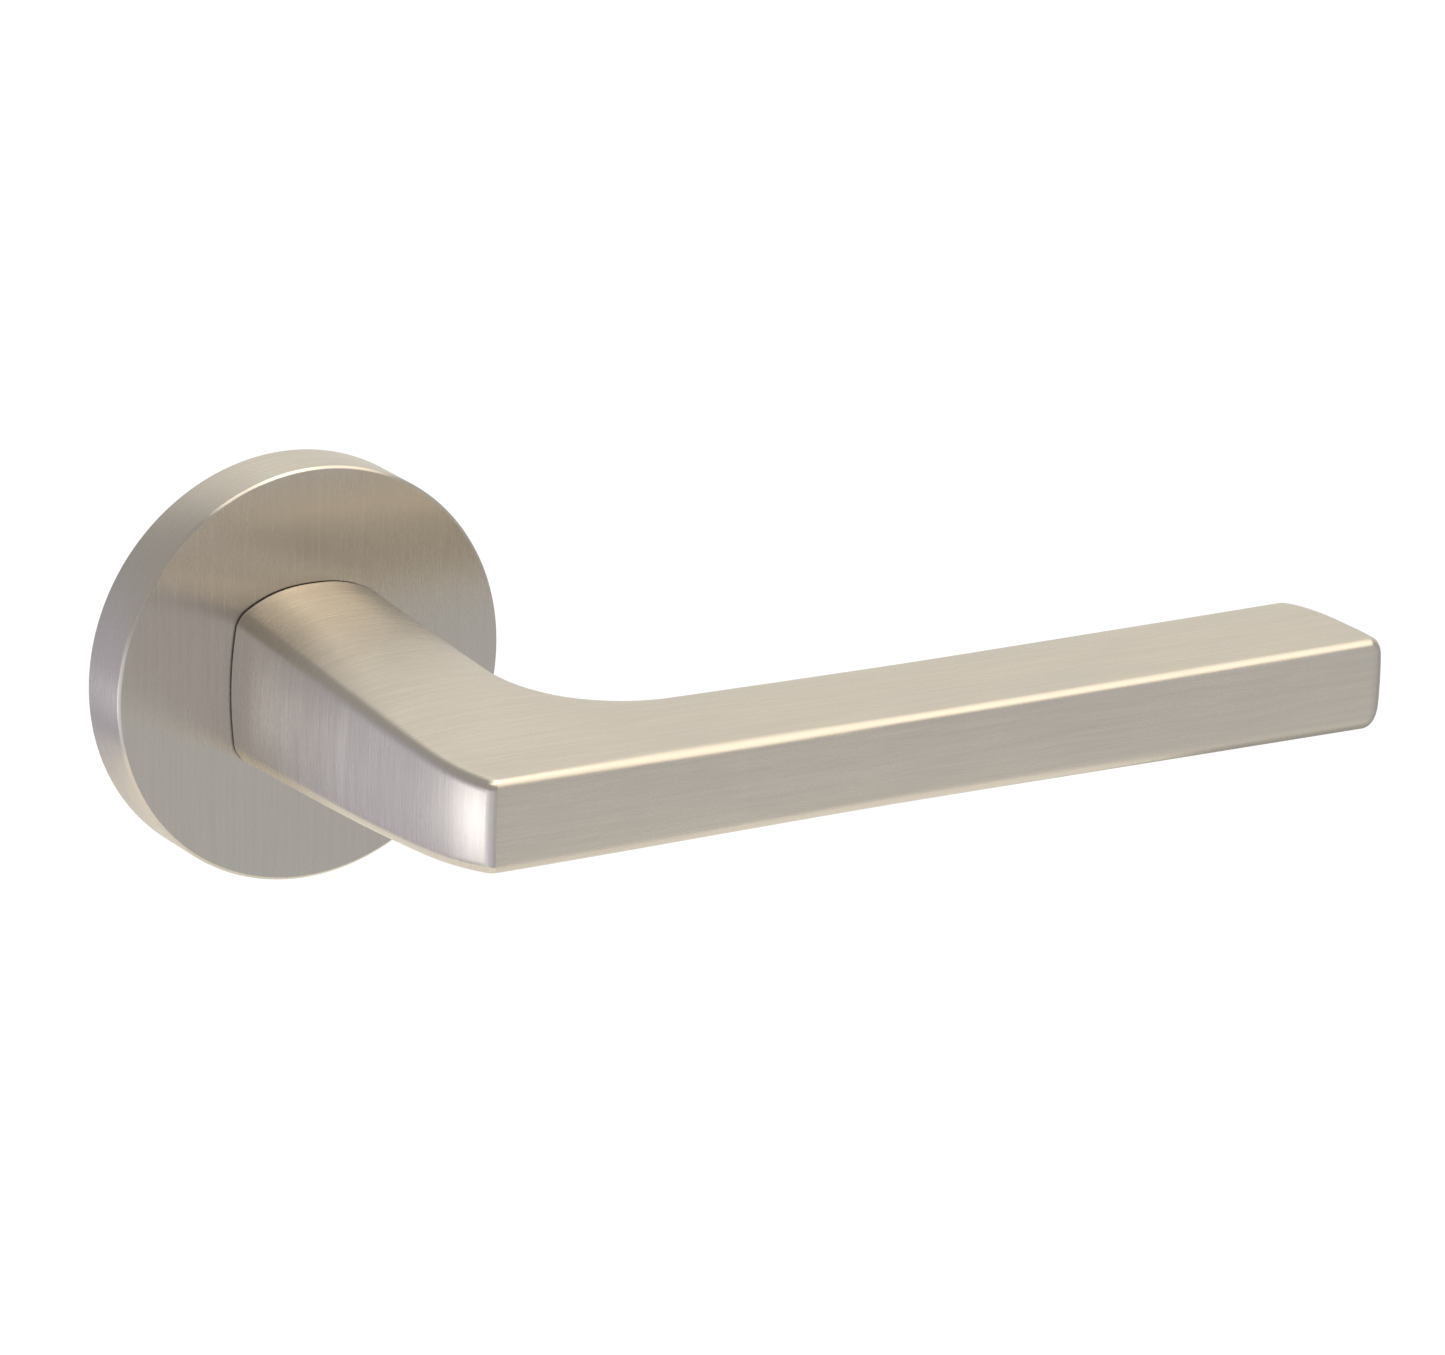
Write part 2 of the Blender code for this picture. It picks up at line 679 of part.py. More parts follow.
def make_inner_rose(finish, parent):
    base = turned("inner_rose", [
        (BASE_BORE_RADIUS, BUSH_SEAT),
        (BUSH_SEAT_RADIUS, BUSH_SEAT),
        (BUSH_SEAT_RADIUS, BASE_FRONT),
        (BASE_RADIUS, BASE_FRONT),
        (BASE_RADIUS, SNAP_GROOVE[0]),
        (SNAP_GROOVE_RADIUS, SNAP_GROOVE[0]),
        (SNAP_GROOVE_RADIUS, SNAP_GROOVE[1]),
        (BASE_RADIUS, SNAP_GROOVE[1]),
        (BASE_RADIUS, 0.0),
        (RECESS_RADIUS, 0.0),
        (RECESS_RADIUS, RECESS),
        (CHAMBER_RADIUS, RECESS),
        (CHAMBER_RADIUS, TRENCH),
        (HUB_RADIUS, TRENCH),
        (HUB_RADIUS, HUB_WALL),
        (BASE_BORE_RADIUS, HUB_WALL),
    ], finish, parent)
    stop = sector(
        "base_stop",
        (STOP_INNER_RADIUS, STOP_OUTER_RADIUS),
        (HUB_WALL - GAP, STOP_END),
        (90.0 - STOP_HALF_ANGLE, 90.0 + STOP_HALF_ANGLE),
        8,
    )
    join(base, stop)
    for side in (1, -1):
        centre = (side * LUG_X, 0.0)
        start = RECESS - 1.0 * MM
        join(base, cylinder(f"base_lug_{side}", LUG_RADIUS, start, LUG_END, centre, 32))
    for side in (1, -1):
        centre = (side * LUG_X, 0.0)
        start, end = LUG_BORE_START, LUG_END + GAP
        cut(base, cylinder(f"base_lug_bore_{side}", LUG_BORE_RADIUS, start, end, centre))
    for angle in SCREW_ANGLES:
        name = f"base_screw_hole_{angle:.0f}"
        start, end = SCREW_END - GAP, RECESS + 1.0 * MM
        cut(base, cylinder(name, SCREW_HOLE_RADIUS, start, end, on_circle(angle), 16))
    leg = LEG_SLOT_HALF_WIDTH
    slot_low = (-leg, LEG_SLOT_FRONT, -LEG_SLOT_END)
    slot_high = (leg, RECESS + 1.0 * MM, -CHAMBER_RADIUS + 1.0 * MM)
    cut(base, block("base_leg_slot", slot_low, slot_high))


def on_circle(angle):
    """The (x, z) of a cover screw."""
    turn = math.radians(angle)
    return (SCREW_CIRCLE * math.cos(turn), SCREW_CIRCLE * math.sin(turn))


def make_bearing_bush(finish, parent):
    turned("bearing_bush", [
        (BUSH_BORE_RADIUS, BUSH[0]),
        (BUSH_RADIUS, BUSH[0]),
        (BUSH_RADIUS, BUSH_FLANGE[0]),
        (BUSH_FLANGE_RADIUS, BUSH_FLANGE[0]),
        (BUSH_FLANGE_RADIUS, BUSH_FLANGE[1]),
        (BUSH_RADIUS, BUSH_FLANGE[1]),
        (BUSH_RADIUS, BUSH[1]),
        (BUSH_BORE_RADIUS, BUSH[1]),
    ], finish, parent)


def make_rear_bush(finish, parent):
    turned("rear_bush", [
        (BUSH_BORE_RADIUS, REAR_BUSH[0]),
        (REAR_FLANGE_RADIUS, REAR_BUSH[0]),
        (REAR_FLANGE_RADIUS, REAR_FLANGE_END),
        (REAR_BUSH_RADIUS, REAR_FLANGE_END),
        (REAR_BUSH_RADIUS, REAR_BUSH[1]),
        (BUSH_BORE_RADIUS, REAR_BUSH[1]),
    ], finish, parent)


def make_return_spring(finish, parent):
    """One turn from the fixed leg at the bottom round to the driving end."""
    turn = np.linspace(0.0, 1.0, SPRING_STEPS + 1)
    angle = np.radians(-90.0) + turn * math.radians(SPRING_SWEEP)
    y = mix(SPRING_Y[0], SPRING_Y[1], turn)
    coil = list(zip(SPRING_RADIUS * np.cos(angle), y, SPRING_RADIUS * np.sin(angle)))
    bend = SPRING_RADIUS + SPRING_BEND
    leg = [(0.0, SPRING_Y[0], -SPRING_LEG_END), (0.0, SPRING_Y[0], -bend)]
    last = angle[-1] + math.radians(SPRING_STUB_TURN)
    stub = (SPRING_STUB_END * math.cos(last), SPRING_Y[1], SPRING_STUB_END * math.sin(last))
    wire("return_spring", leg + coil[1:] + [stub], SPRING_WIRE, finish, parent)


def make_spring_cover(finish, parent):
    front, back = PLATE
    plate = turned("spring_cover", [
        (PLATE_HOLE_RADIUS, front),
        (PLATE_RADIUS, front),
        (PLATE_RADIUS, back),
        (PLATE_HOLE_RADIUS, back),
    ], finish, parent)
    for side in (1, -1):
        centre = (side * LUG_X, 0.0)
        start, end = front - GAP, back + GAP
        cut(plate, cylinder(f"plate_lug_hole_{side}", PLATE_LUG_RADIUS, start, end, centre, 32))
    wide = SCREW_HEAD_RADIUS + SINK_PLAY
    spread = (wide - SCREW_HOLE_RADIUS) / (back - front) * GAP
    for angle in SCREW_ANGLES:
        name = f"plate_sink_{angle:.0f}"
        start, end = front - GAP, back + GAP
        narrow = SCREW_HOLE_RADIUS - spread
        cut(plate, cylinder(name, narrow, start, end, on_circle(angle), 24, "Y", wide + spread))


def make_cover_screws(finish, parent):
    for number, angle in enumerate(SCREW_ANGLES, start=1):
        centre = on_circle(angle)
        profile = [
            (0.0, SCREW_END),
            (SCREW_RADIUS, SCREW_END),
            (SCREW_RADIUS, PLATE[0]),
            (SCREW_HEAD_RADIUS, SCREW_HEAD_Y),
            (0.0, SCREW_HEAD_Y),
        ]
        bm = turned_bmesh(profile, 24)
        inside = [face for face in bm.faces if face.calc_area() < 1e-12]
        bmesh.ops.delete(bm, geom=inside, context="FACES")
        screw = new_object(f"cover_screw_{number}", bm, finish, parent)
        screw.location = (centre[0], 0.0, centre[1])
        front, back = SCREW_HEAD_Y - CROSS_DEPTH, SCREW_HEAD_Y + GAP
        long, short = CROSS_HALF_LENGTH, CROSS_HALF_WIDTH
        for letter, half_x, half_z in (("a", long, short), ("b", short, long)):
            low = (centre[0] - half_x, front, centre[1] - half_z)
            high = (centre[0] + half_x, back, centre[1] + half_z)
            cut(screw, block(f"screw_cross_{number}{letter}", low, high))


def make_inserts(finish, parent):
    for number, side in enumerate((-1, 1), start=1):
        front, back = INSERT
        insert = turned(f"threaded_insert_{number}", [
            (INSERT_BORE_RADIUS, front),
            (INSERT_RADIUS, front),
            (INSERT_RADIUS, back),
            (INSERT_BORE_RADIUS, back),
        ], finish, parent, 32)
        insert.location = (side * LUG_X, 0.0, 0.0)


def make_snap_ring(finish, parent):
    start = math.radians(-90.0 + SNAP_GAP_ANGLE)
    end = math.radians(270.0 - SNAP_GAP_ANGLE)
    points = []
    for angle in np.linspace(start, end, 49):
        points.append((SNAP_RADIUS * math.cos(angle), SNAP_Y, SNAP_RADIUS * math.sin(angle)))
    wire("snap_ring", points, SNAP_WIRE, finish, parent, 1)


def main():
    clear_scene()
    satin_nickel = material("satin_nickel", (0.55, 0.51, 0.45), 0.34, 1.0)
    die_cast = material("die_cast_zinc", (0.42, 0.43, 0.44), 0.5, 1.0)
    zinc_steel = material("zinc_plated_steel", (0.62, 0.62, 0.6), 0.32, 1.0)
    spring_steel = material("spring_steel", (0.2, 0.2, 0.21), 0.35, 1.0)
    dark_steel = material("blackened_steel", (0.05, 0.05, 0.055), 0.45, 1.0)
    nylon = material("black_nylon", (0.03, 0.03, 0.032), 0.5, 0.0)
    pale_nylon = material("natural_nylon", (0.75, 0.73, 0.66), 0.45, 0.0)

    rose = empty("rose_frame")
    make_rose_cover(satin_nickel, rose)
    make_inner_rose(die_cast, rose)
    make_bearing_bush(nylon, rose)
    make_rear_bush(pale_nylon, rose)
    make_return_spring(spring_steel, rose)
    make_spring_cover(zinc_steel, rose)
    make_cover_screws(zinc_steel, rose)
    make_inserts(zinc_steel, rose)
    make_snap_ring(spring_steel, rose)

    pivot = empty("lever_pivot")
    make_lever(satin_nickel, pivot)
    make_grub_screw(dark_steel, pivot)
    make_spindle(zinc_steel, pivot)
    make_driver(zinc_steel, pivot)
    make_wave_washer(spring_steel, pivot)
    make_thrust_washer(pale_nylon, pivot)
    make_retaining_ring(spring_steel, pivot)


main()
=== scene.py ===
"""The finished look of a sprung door lever on its round rose, laid out as a Blender add-on.

The origin is on the spindle axis in the plane of the door face. The door is on the +Y side, the lever
stands out along -Y and its grip runs along +X. +Z is up, and all lengths are in metres. A depth is a
distance out from the door face, so it is -y.
"""

import json
import math

import bmesh
import bpy
import numpy as np
from bpy.props import FloatProperty, FloatVectorProperty, IntProperty, PointerProperty
from mathutils import Matrix, Vector

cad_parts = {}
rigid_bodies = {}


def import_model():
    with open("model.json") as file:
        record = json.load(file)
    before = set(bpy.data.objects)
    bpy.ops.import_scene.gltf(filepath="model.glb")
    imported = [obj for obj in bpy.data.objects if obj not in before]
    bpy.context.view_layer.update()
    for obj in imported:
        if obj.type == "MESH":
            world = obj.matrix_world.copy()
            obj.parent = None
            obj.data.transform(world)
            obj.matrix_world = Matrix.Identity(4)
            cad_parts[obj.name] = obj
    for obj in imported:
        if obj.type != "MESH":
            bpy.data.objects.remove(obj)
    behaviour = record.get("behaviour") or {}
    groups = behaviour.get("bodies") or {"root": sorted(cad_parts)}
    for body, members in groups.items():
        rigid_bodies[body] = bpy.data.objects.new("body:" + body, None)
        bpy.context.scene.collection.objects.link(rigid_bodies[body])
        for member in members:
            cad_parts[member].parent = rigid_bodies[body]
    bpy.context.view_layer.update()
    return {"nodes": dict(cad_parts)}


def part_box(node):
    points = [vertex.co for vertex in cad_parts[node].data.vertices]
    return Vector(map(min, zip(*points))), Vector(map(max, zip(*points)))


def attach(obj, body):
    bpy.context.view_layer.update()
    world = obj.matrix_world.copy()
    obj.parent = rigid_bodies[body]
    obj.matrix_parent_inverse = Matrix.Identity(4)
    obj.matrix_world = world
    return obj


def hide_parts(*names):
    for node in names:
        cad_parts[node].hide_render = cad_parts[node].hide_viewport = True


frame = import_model()

bl_info = {
    "name": "Door Lever On Round Rose",
    "version": (1, 0, 0),
    "blender": (4, 5, 0),
    "location": "View3D > Sidebar > Door Lever",
    "description": "Builds the satin nickel lever, its rose and the mechanism behind it",
    "category": "Object",
}

MM = 0.001
WELD = 1.0e-7
TINY = 1.0e-9
CARVE_STEP = 4.0e-6
SHARP_ANGLE = math.radians(30.0)
EASE_POINTS = 5
SECTOR_STEPS = 24

COVER_LOW, COVER_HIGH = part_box("rose_cover")
LEVER_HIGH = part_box("lever")[1]
SPINDLE_LOW, SPINDLE_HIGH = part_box("spindle")
PLATE_LOW, PLATE_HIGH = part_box("spring_cover")
BASE_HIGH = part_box("inner_rose")[1]
CLIP_LOW, CLIP_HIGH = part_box("retaining_ring")
WASHER_LOW, WASHER_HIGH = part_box("thrust_washer")
WAVE_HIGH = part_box("wave_washer")[1]
GRUB_LOW, GRUB_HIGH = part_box("grub_screw")

# Rose cover.
ROSE_RADIUS = COVER_HIGH.x
ROSE_HEIGHT = -COVER_LOW.y
COVER_WALL = 1.2 * MM
COVER_CHAMFER = 0.3 * MM
COVER_HOLE = 10.0 * MM
SNAP_GROOVE_DEPTH = 0.35 * MM
SNAP_GROOVE = (-3.55 * MM, -2.05 * MM)

# Lever, in plan and in height.
NECK_START = ROSE_HEIGHT + 0.25 * MM
NECK_LEFT = -10.2 * MM
NECK_RIGHT = 10.0 * MM
NECK_BOW = 0.7 * MM
NECK_EDGE = 8.0 * MM
NECK_WIDEST = 51.4 * MM
NECK_LENGTH = 50.0 * MM
GRIP_FRONT = 66.4 * MM
GRIP_BACK = 49.2 * MM
ELBOW_RADIUS = 1.3 * MM
ELBOW_SLOPE = 0.4
FILLET_RADIUS = 14.6 * MM
FILLET_X = 24.4 * MM
FILLET_DEPTH = GRIP_BACK - FILLET_RADIUS
TIP_X = LEVER_HIGH.x
TIP_CROWN_RADIUS = 44.0 * MM
TIP_CROWN_DEPTH = 65.5 * MM
TIP_ROUNDING = 2.8 * MM
TOP_AT_ROSE = 8.5 * MM
TOP_AT_ELBOW = 5.45 * MM
BOTTOM_AT_ROSE = 8.8 * MM
BOTTOM_DROP = 3.0 * MM
BOTTOM_POWER = 1.9
GRIP_TOP = 5.22 * MM
GRIP_BOTTOM = 5.45 * MM
GRIP_BOTTOM_SLOPE = 0.0075
GRIP_SLIM_SHARE = 0.3
GRIP_TOP_RISE = 0.12 * MM
GRIP_TOP_RISE_LENGTH = 72.0 * MM
GRIP_LOWEST_X = 40.0 * MM
GRIP_BACK_RISE = 0.5 * MM
GRIP_BOTTOM_START = 10.0 * MM
GRIP_BACK_DROP = 0.3 * MM
GRIP_HALF_HEIGHT = 5.6 * MM
CROWN_AT_ROSE = 3.1 * MM
CROWN_AT_GRIP = 0.2 * MM
CROWN_POWER = 2.4
CROWN_LENGTH = 52.0 * MM
CROWN_FADE = 0.8
SWELL_AT_ROSE = 0.75 * MM
SWELL_AT_ELBOW = 0.3 * MM
SWELL_ON_GRIP = 0.25 * MM
SWELL_LENGTH = 40.0 * MM
RADII_AT_ROSE = (1.1, 1.9, 1.9, 1.3)
RADII_AT_ELBOW = (1.3, 1.8, 1.8, 1.3)
RADII_ON_GRIP = (1.0, 1.6, 1.8, 1.5)
TIP_RADIUS_GAIN = 0.25
SMALLEST_RADIUS = 0.4 * MM
NECK_BLEND_START = 4.0 * MM
NECK_BLEND_LENGTH = 60.0 * MM
ARC_STEPS = 9
SIDE_STEPS = 24
PANEL = ARC_STEPS - 1 + SIDE_STEPS
# Sections on the elbow's side, corner and front, and the ones where the brushing turns.
ELBOW_STEPS = (22, 22, 22)
OUTER_SWITCH = 42
INNER_SWITCH = 33

# Shank of the lever, its square socket and the hole of the grub screw.
SHANK_RADIUS = 8.0 * MM
SHANK_END = 3.4 * MM
SHANK_FLATS = 6.9 * MM
FLATS_START = -4.3 * MM
CLIP_GROOVE_RADIUS = 7.2 * MM
CLIP_GROOVE = (1.5 * MM, 2.7 * MM)
SOCKET_HALF = 4.1 * MM
SOCKET_END = -35.0 * MM
GRUB_Y = -24.0 * MM
GRUB_HOLE = 3.05 * MM
EASE = 0.3 * MM
SOCKET_OPENING = 3.85 * MM
SOCKET_STEPS = (6, 4, 3)
HOLE_CELLS = 6

# Base of the rose, and what is fixed in it.
BASE_CORNERS = (
    (9.8, -5.4), (11.4, -5.4), (11.4, -6.3), (24.4, -6.3), (24.4, -3.55), (23.3, -3.55),
    (23.3, -2.05), (24.4, -2.05), (24.4, 0.0), (22.3, 0.0), (22.3, -1.3), (15.0, -1.3),
    (15.0, -5.3), (12.6, -5.3), (12.6, -4.5), (9.8, -4.5),
)
RECESS_CORNER = 10
HUB_CORNER = 14
STOP_RADII = (10.1 * MM, 11.5 * MM)
STOP_HALF_ANGLE = 20.0
STOP_END = -2.9 * MM
LUG_X = 19.0 * MM
LUG_RADIUS = 3.75 * MM
LUG_ROOT = 1.0 * MM
LUG_BORE = 3.05 * MM
LUG_BORE_START = -4.6 * MM
LEG_SLOT = ((-1.25, -5.25, -18.2), (1.25, -0.3, -14.0))
SCREW_CIRCLE = 18.3 * MM
SCREW_ANGLES = (45.0, 135.0, 225.0, 315.0)
SCREW_RADIUS = 1.15 * MM
SCREW_HEAD_RADIUS = 2.2 * MM
SCREW_HOLE = 1.3 * MM
SCREW_SPAN = (-4.6 * MM, -0.25 * MM)
SCREW_PITCH = 0.45 * MM
SCREW_POINT = 0.1 * MM
SCREW_THREAD_SHARE = 0.8
CROSS_ARM = (1.3 * MM, 0.3 * MM)
CROSS_DEPTH = 0.6 * MM
CROSS_SLOPE = 0.12 * MM
PLATE_HOLE = 9.5 * MM
PLATE_LUG_HOLE = 4.05 * MM
PLATE_SINK = 2.35 * MM
INSERT_RADIUS = 3.0 * MM
INSERT_BORE = 1.7 * MM
INSERT_SPAN = (-4.4 * MM, 4.7 * MM)
INSERT_PITCH = 0.7 * MM

# Turned bearings as corners in millimetres, the clip, the spring and the ring of the rose.
BUSH_CORNERS = (
    (8.3, -7.5), (9.6, -7.5), (9.6, -6.2), (11.2, -6.2), (11.2, -5.5), (9.6, -5.5), (9.6, -4.5),
    (8.3, -4.5),
)
REAR_BUSH_CORNERS = (
    (8.3, -1.65), (10.4, -1.65), (10.4, -1.35), (9.3, -1.35), (9.3, -0.15), (8.3, -0.15),
)
WASHER_BORE = 8.3 * MM
WAVE_BORE = 8.5 * MM
WAVE_THICKNESS = 0.3 * MM
WAVE_MIDDLE = 0.35 * MM
WAVE_HEIGHT = 0.15 * MM
WAVES = 4
CLIP_BORE = 7.35 * MM
CLIP_RADIUS = 9.9 * MM
CLIP_GAP = 1.7 * MM
CLIP_EAR = (3.1 * MM, 10.2 * MM, 1.5 * MM, 0.7 * MM)
EAR_STEP = 0.08 * MM
SPINDLE_CHAMFER = 0.6 * MM
GRUB_RADIUS = 2.9 * MM
GRUB_HEX_FLAT = 1.5 * MM
GRUB_HEX_DEPTH = 3.0 * MM
GRUB_HEX_LEAD = 1.08
GRUB_PITCH = 1.0 * MM
GRUB_THREAD_SHARE = 1.6
SPRING_RADIUS = 13.75 * MM
SPRING_WIRE = 0.9 * MM
SPRING_Y = (-4.25 * MM, -2.35 * MM)
SPRING_LEG_END = 17.8 * MM
SPRING_STUB_END = 12.7 * MM
SPRING_SWEEP = 338.0
SPRING_COILED = (0.04, 0.98)
SPRING_BEND = 1.6 * MM
SPRING_STUB_ANGLE = 251.0
SNAP_RADIUS = 24.05 * MM
SNAP_WIRE = 0.6 * MM
SNAP_Y = -2.8 * MM
SNAP_GAP_ANGLE = 14.0


# The brushing: how far its lines wander, and each layer's width, length, place and detail.
LINE_WANDER = 0.5 * MM
LINE_LAYERS = ((1.0, 1.0, 0.0, 3.0), (4.5, 2.2, 7.3, 2.0), (0.8, 0.6, 19.1, 0.0))
# Each slot's colour setting, material, roughness and metal, its patches, grain and depth of grain
# in millimetres, and its swing of tone.
GRAINED_FINISHES = {
    "die_cast_zinc": ("cast_zinc", "die_cast_zinc_grained", 0.48, 1.0, 6.0, 0.3, 0.01, 0.12),
    "zinc_plated_steel": ("plated_steel", "zinc_plate_mottled", 0.3, 1.0, 4.0, 0.15, 0.003, 0.12),
    "spring_steel": ("spring_steel", "spring_steel_oiled", 0.33, 1.0, 3.0, 0.12, 0.002, 0.12),
    "blackened_steel": ("black_steel", "blackened_steel_worn", 0.42, 1.0, 2.0, 0.1, 0.003, 0.12),
    "black_nylon": ("black_nylon", "black_nylon_moulded", 0.5, 0.0, 4.0, 0.2, 0.004, 0.12),
    "natural_nylon": ("pale_nylon", "natural_nylon_moulded", 0.45, 0.0, 5.0, 0.2, 0.004, 0.05),
}
GLOSS_SWING = 0.08


# ---------------------------------------------------------------------------------------------
# Sizes and colours that a user may change


def length(name, description, default):
    return FloatProperty(
        name=name, description=description, default=default, unit="LENGTH", subtype="DISTANCE"
    )


def tint(name, description, default):
    return FloatVectorProperty(
        name=name,
        description=description,
        default=default,
        size=3,
        min=0.0,
        max=1.0,
        subtype="COLOR",
    )


def share(name, description, default):
    return FloatProperty(
        name=name, description=description, default=default, min=0.0, max=1.0, subtype="FACTOR"
    )


class DoorLeverFinish(bpy.types.PropertyGroup):
    """Colours and grain of the finishes."""

    nickel: tint("Satin nickel", "Colour of the brushed nickel plating", (0.64, 0.585, 0.50))
    nickel_roughness: share("Satin roughness", "How soft the nickel's reflections are", 0.25)
    nickel_brushing: share("Brushing", "How far reflections spread across the brushing", 0.95)
    line_width: length("Line width", "Width of one brushed line", 0.11 * MM)
    line_length: length("Line length", "Length of one brushed line", 7.0 * MM)
    line_depth: length("Line depth", "Depth of the brushed lines", 0.0016 * MM)
    cast_zinc: tint("Die-cast zinc", "Colour of the cast base", (0.42, 0.43, 0.44))
    plated_steel: tint("Zinc plated steel", "Colour of the plated steel", (0.62, 0.62, 0.6))
    spring_steel: tint("Spring steel", "Colour of the springs and the clip", (0.22, 0.22, 0.225))
    black_steel: tint("Blackened steel", "Colour of the grub screw", (0.05, 0.05, 0.055))
    black_nylon: tint("Black nylon", "Colour of the bearing bush", (0.03, 0.03, 0.032))
    pale_nylon: tint("Natural nylon", "Colour of the rear bush and washer", (0.75, 0.73, 0.66))


class DoorLeverStage(bpy.types.PropertyGroup):
    """The camera and the studio."""

    azimuth: FloatProperty(
        name="Azimuth",
        description="Turn of the camera about the vertical",
        default=math.radians(-32.083),
        subtype="ANGLE",
    )
    elevation: FloatProperty(
        name="Elevation",
        description="Height angle of the camera",
        default=math.radians(18.013),
        subtype="ANGLE",
    )
    roll: FloatProperty(
        name="Roll",
        description="Turn of the camera about its own axis",
        default=math.radians(2.0),
        subtype="ANGLE",
    )
    distance: length("Distance", "From the camera to the point that it looks at", 1.0)
    aim_right: length("Aim right", "How far right of the origin the camera looks", 53.656 * MM)
    aim_up: length("Aim up", "How far above the origin the camera looks", -2.561 * MM)
    lens: FloatProperty(
        name="Lens",
        description="Focal length in millimetres on a 36 mm wide sensor",
        default=205.6,
        min=1.0,
    )
    floor_drop: length("Floor", "How far the floor lies below the spindle axis", 0.13)


class DoorLeverShape(bpy.types.PropertyGroup):
    """Sizes of the worked pieces and how finely they are drawn."""

    rose_chamfer: length("Rose chamfer", "Bevel round the face of the rose", COVER_CHAMFER)
    edge_ease: length("Eased edges", "Rounding of turned and stamped edges", 0.12 * MM)
    thread_depth: length("Thread depth", "Depth of the small threads", 0.25 * MM)
    round_steps: IntProperty(
        name="Round steps",
        description="Facets round a large turned piece",
        default=256,
        min=32,
    )
    small_steps: IntProperty(
        name="Small round steps",
        description="Facets round a small turned piece",
        default=96,
        min=24,
    )


# ---------------------------------------------------------------------------------------------
# Surfaces worked out as whole arrays


def mix(start, end, amount):
    return start + (end - start) * amount


def smooth(amount):
    """Rises from 0 to 1 with no corner at either end: 3t^2 - 2t^3."""
    amount = np.clip(amount, 0.0, 1.0)
    return amount * amount * (3.0 - 2.0 * amount)


def steps_between(stops, counts):
    """Values that run from stop to stop, each stretch in its own number of equal steps."""
    runs = [np.linspace(a, b, n + 1)[:-1] for a, b, n in zip(stops, stops[1:], counts)]
    return np.concatenate(runs + [np.array(stops[-1:])])


def patch(points, brush, cells=None):
    """A grid of quads with its brushing map: u runs across the lines and v along them, in metres."""
    rows, columns = points.shape[:2]
    number = np.arange(rows * columns).reshape(rows, columns)
    corners = (number[:-1, :-1], number[1:, :-1], number[1:, 1:], number[:-1, 1:])
    quads = np.stack([corner.ravel() for corner in corners], axis=1)
    if cells is not None:
        quads = quads[cells.ravel()]
    return points.reshape(-1, 3), np.asarray(brush, float).reshape(-1, 2), quads


def lengths_along(points, axis):
    """Running length of a grid along one of its directions."""
    moves = np.linalg.norm(np.diff(points, axis=axis), axis=2)
    start = np.zeros_like(np.take(moves, [0], axis=axis))
    return np.concatenate([start, np.cumsum(moves, axis=axis)], axis=axis)


def turned_patch(points):
    """A patch of a turned surface, with its lines running round."""
    radius = np.hypot(points[..., 0], points[..., 2]).max()
    turn = np.linspace(0.0, math.tau, points.shape[1]) * radius
    across = lengths_along(points, 0)
    return patch(points, np.stack([across, np.broadcast_to(turn, across.shape)], axis=2))


def planar_patch(points, across, along, cells=None):
    """A patch brushed in straight lines, mapped by two of its coordinates."""
    return patch(points, np.stack([points[..., across], points[..., along]], axis=2), cells)


def eased(corners, radius, closed=True):
    """An outline whose corners are each a quadratic Bezier arc between two points on its sides."""
    corners = np.asarray(corners, float)
    back = np.roll(corners, 1, axis=0) - corners
    ahead = np.roll(corners, -1, axis=0) - corners
    back_length = np.linalg.norm(back, axis=1, keepdims=True)
    ahead_length = np.linalg.norm(ahead, axis=1, keepdims=True)
    reach = np.minimum(radius, 0.45 * np.minimum(back_length, ahead_length))
    first = corners + back / back_length * reach
    last = corners + ahead / ahead_length * reach
    t = np.linspace(0.0, 1.0, EASE_POINTS)[None, :, None]
    arcs = (1 - t) ** 2 * first[:, None] + 2 * t * (1 - t) * corners[:, None] + t**2 * last[:, None]
    if closed:
        outline = arcs.reshape(-1, corners.shape[1])
        return np.concatenate([outline, outline[:1]])
    inner = arcs[1:-1].reshape(-1, corners.shape[1])
    return np.concatenate([corners[:1], inner, corners[-1:]])


def turned(profile, steps, centre=(0.0, 0.0)):
    """A profile of (radius, y) carried round the Y axis, or round a line beside it."""
    turn = np.linspace(0.0, math.tau, steps + 1)
    turn[-1] = 0.0
    profile = np.asarray(profile, float)
    x = profile[:, :1] * np.cos(turn) + centre[0]
    z = profile[:, :1] * np.sin(turn) + centre[1]
    y = np.broadcast_to(profile[:, 1:], x.shape)
    return np.stack([x, y, z], axis=2)


def rings(radii, heights, turn, centre=(0.0, 0.0)):
    """Rings whose radius varies with the angle, stacked along Y: x = r cos a, z = r sin a."""
    x = radii * np.cos(turn) + centre[0]
    z = radii * np.sin(turn) + centre[1]
    return np.stack([x, np.broadcast_to(heights, x.shape), z], axis=2)


def polygon_radius(turn, sides, flat):
    """Distance from the centre to a regular polygon whose flats are that far out."""
    half = math.pi / sides
    return flat / np.cos(np.mod(turn + half, 2 * half) - half)


def box_radius(turn, half_x, half_z):
    """Distance from the centre to the edge of a rectangle."""
    to_x = half_x / np.maximum(np.abs(np.cos(turn)), TINY)
    to_z = half_z / np.maximum(np.abs(np.sin(turn)), TINY)
    return np.minimum(to_x, to_z)


